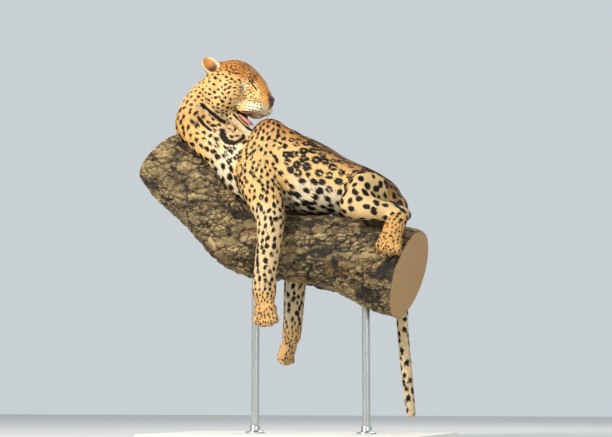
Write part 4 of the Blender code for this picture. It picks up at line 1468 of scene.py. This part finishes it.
paint_mat = grained("satin_paint", (0.7, 0.7, 0.66), 0.42, 6.0, (0.86, 0.85, 0.82), (0.90, 0.89, 0.86),
                    stretch=(1, 9, 9), bump=0.0004)
steel_mat = grained("brushed_steel", (0.6, 0.6, 0.6), 0.32, 60.0, (0.72, 0.72, 0.72), (0.84, 0.84, 0.83),
                    stretch=(8, 8, 0.4), bump=0.0002, metallic=1.0)
base_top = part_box("stand_base")[1][2]
collar_meshes = []
screw_places = []
for label in ("stand_rod_1", "stand_rod_2"):
    low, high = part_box(label)
    rod_x = (low[0] + high[0]) / 2
    rings = []
    for radius, height in COLLAR:
        turns = [2 * math.pi * k / COLLAR_SIDES for k in range(COLLAR_SIDES)]
        rings.append([(rod_x + radius * math.cos(turn), radius * math.sin(turn), base_top + height)
                      for turn in turns])
    collar_meshes.append(ring_body("collar", rings, ends=False))
    for k in range(3):
        turn = math.radians(30 + 120 * k)
        screw_places.append((rod_x + SCREW_RING * math.cos(turn), SCREW_RING * math.sin(turn),
                             base_top + SCREW_RISE))
placed("stand_collars", joined("collars", collar_meshes), steel_mat, "steel")


def screw_tree(mat):
    """Sets a domed screw with a cross slot on each point."""
    tree, given, result = new_group("screws", "GeometryNodeTree",
                                    {"Places": "Geometry", "Head Radius": "Float"}, {"Screws": "Geometry"})
    dome = made(tree, "GeometryNodeMeshUVSphere", "Mesh",
                {"Segments": 24, "Rings": 12, "Radius": given["Head Radius"]})
    flat = made(tree, "GeometryNodeTransform", "Geometry", {"Scale": (1.0, 1.0, 0.5), "Geometry": dome})
    cross = added(tree, "GeometryNodeJoinGeometry")
    for size in ((0.0064, 0.0010, 0.0030), (0.0010, 0.0064, 0.0030)):
        bar = made(tree, "GeometryNodeMeshCube", "Mesh", {"Size": size})
        lift = made(tree, "GeometryNodeTransform", "Geometry",
                    {"Translation": (0.0, 0.0, 0.0030), "Geometry": bar})
        tree.links.new(lift, cross.inputs["Geometry"])
    slotted = made(tree, "GeometryNodeMeshBoolean", "Mesh",
                   {"Mesh 1": flat, "Mesh 2": cross.outputs["Geometry"]}, operation="DIFFERENCE")
    setting = made(tree, "GeometryNodeInstanceOnPoints", "Instances",
                   {"Points": given["Places"], "Instance": slotted})
    tree.links.new(realized(tree, setting, mat), result["Screws"])
    return tree


screw_mesh = bpy.data.meshes.new("stand_screws")
screw_mesh.from_pydata(screw_places, [], [])
screws = shown("stand_screws", screw_mesh)
run_tree(screws, screw_tree(steel_mat), {"Head Radius": SCREW_RADIUS})
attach(screws, "root")
for label, mat, slot in (("stand_base", paint_mat, "painted_wood"), ("stand_rod_1", steel_mat, "steel"),
                         ("stand_rod_2", steel_mat, "steel")):
    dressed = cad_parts[label].data.copy()
    dressed.transform(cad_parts[label].matrix_world)
    placed(label + "_dressed", dressed, mat, slot, label)
    for polygon in dressed.polygons:
        polygon.use_smooth = len(polygon.vertices) == 4 and label != "stand_base"


# Studio
# A plain pale floor under a pale world, with soft light from the upper left, seen from a low camera at the photo's
# angle.
CAMERA_AT = (1.615, -4.909, 0.166)
CAMERA_LOOKS_AT = (0.02, 0.0, 0.80)
CAMERA_LENS = 85.65

floor_bm = bmesh.new()
bmesh.ops.create_grid(floor_bm, x_segments=1, y_segments=1, size=8.0)
floor = shown("floor", mesh_from(floor_bm, "floor"))
floor.data.materials.append(plain_material("pale_floor", (0.62, 0.62, 0.61), 0.8))


def area_light(name, place, target, size, power, colour):
    """A square soft light that faces a point."""
    data = bpy.data.lights.new(name, "AREA")
    data.size = size
    data.energy = power
    data.color = colour
    lamp = bpy.data.objects.new(name, data)
    lamp.location = place
    lamp.rotation_euler = (Vector(target) - Vector(place)).to_track_quat("-Z", "Y").to_euler()
    bpy.context.scene.collection.objects.link(lamp)


area_light("key", (-2.0, -3.2, 3.3), (0, 0, 0.8), 0.9, 340, (1.0, 0.94, 0.85))
area_light("fill", (3.2, -2.8, 1.8), (0, 0, 0.8), 2.4, 45, (1.0, 0.97, 0.92))
area_light("rim", (0.5, 3.2, 3.2), (0, 0, 0.9), 1.6, 60, (1.0, 0.98, 0.95))
world = bpy.data.worlds.new("studio")
world.use_nodes = True
background = world.node_tree.nodes["Background"]
background.inputs["Color"].default_value = (0.84, 0.91, 0.95, 1.0)
background.inputs["Strength"].default_value = 0.95
bpy.context.scene.world = world
bpy.context.scene.view_settings.view_transform = "Standard"
bpy.context.scene.view_settings.look = "None"
bpy.context.scene.view_settings.exposure = -0.45

camera_data = bpy.data.cameras.new("camera")
camera_data.lens = CAMERA_LENS
camera_data.sensor_width = 36.0
camera = bpy.data.objects.new("camera", camera_data)
camera.location = CAMERA_AT
aim = Vector(CAMERA_LOOKS_AT) - Vector(CAMERA_AT)
camera.rotation_euler = aim.to_track_quat("-Z", "Y").to_euler()
bpy.context.scene.collection.objects.link(camera)
bpy.context.scene.camera = camera
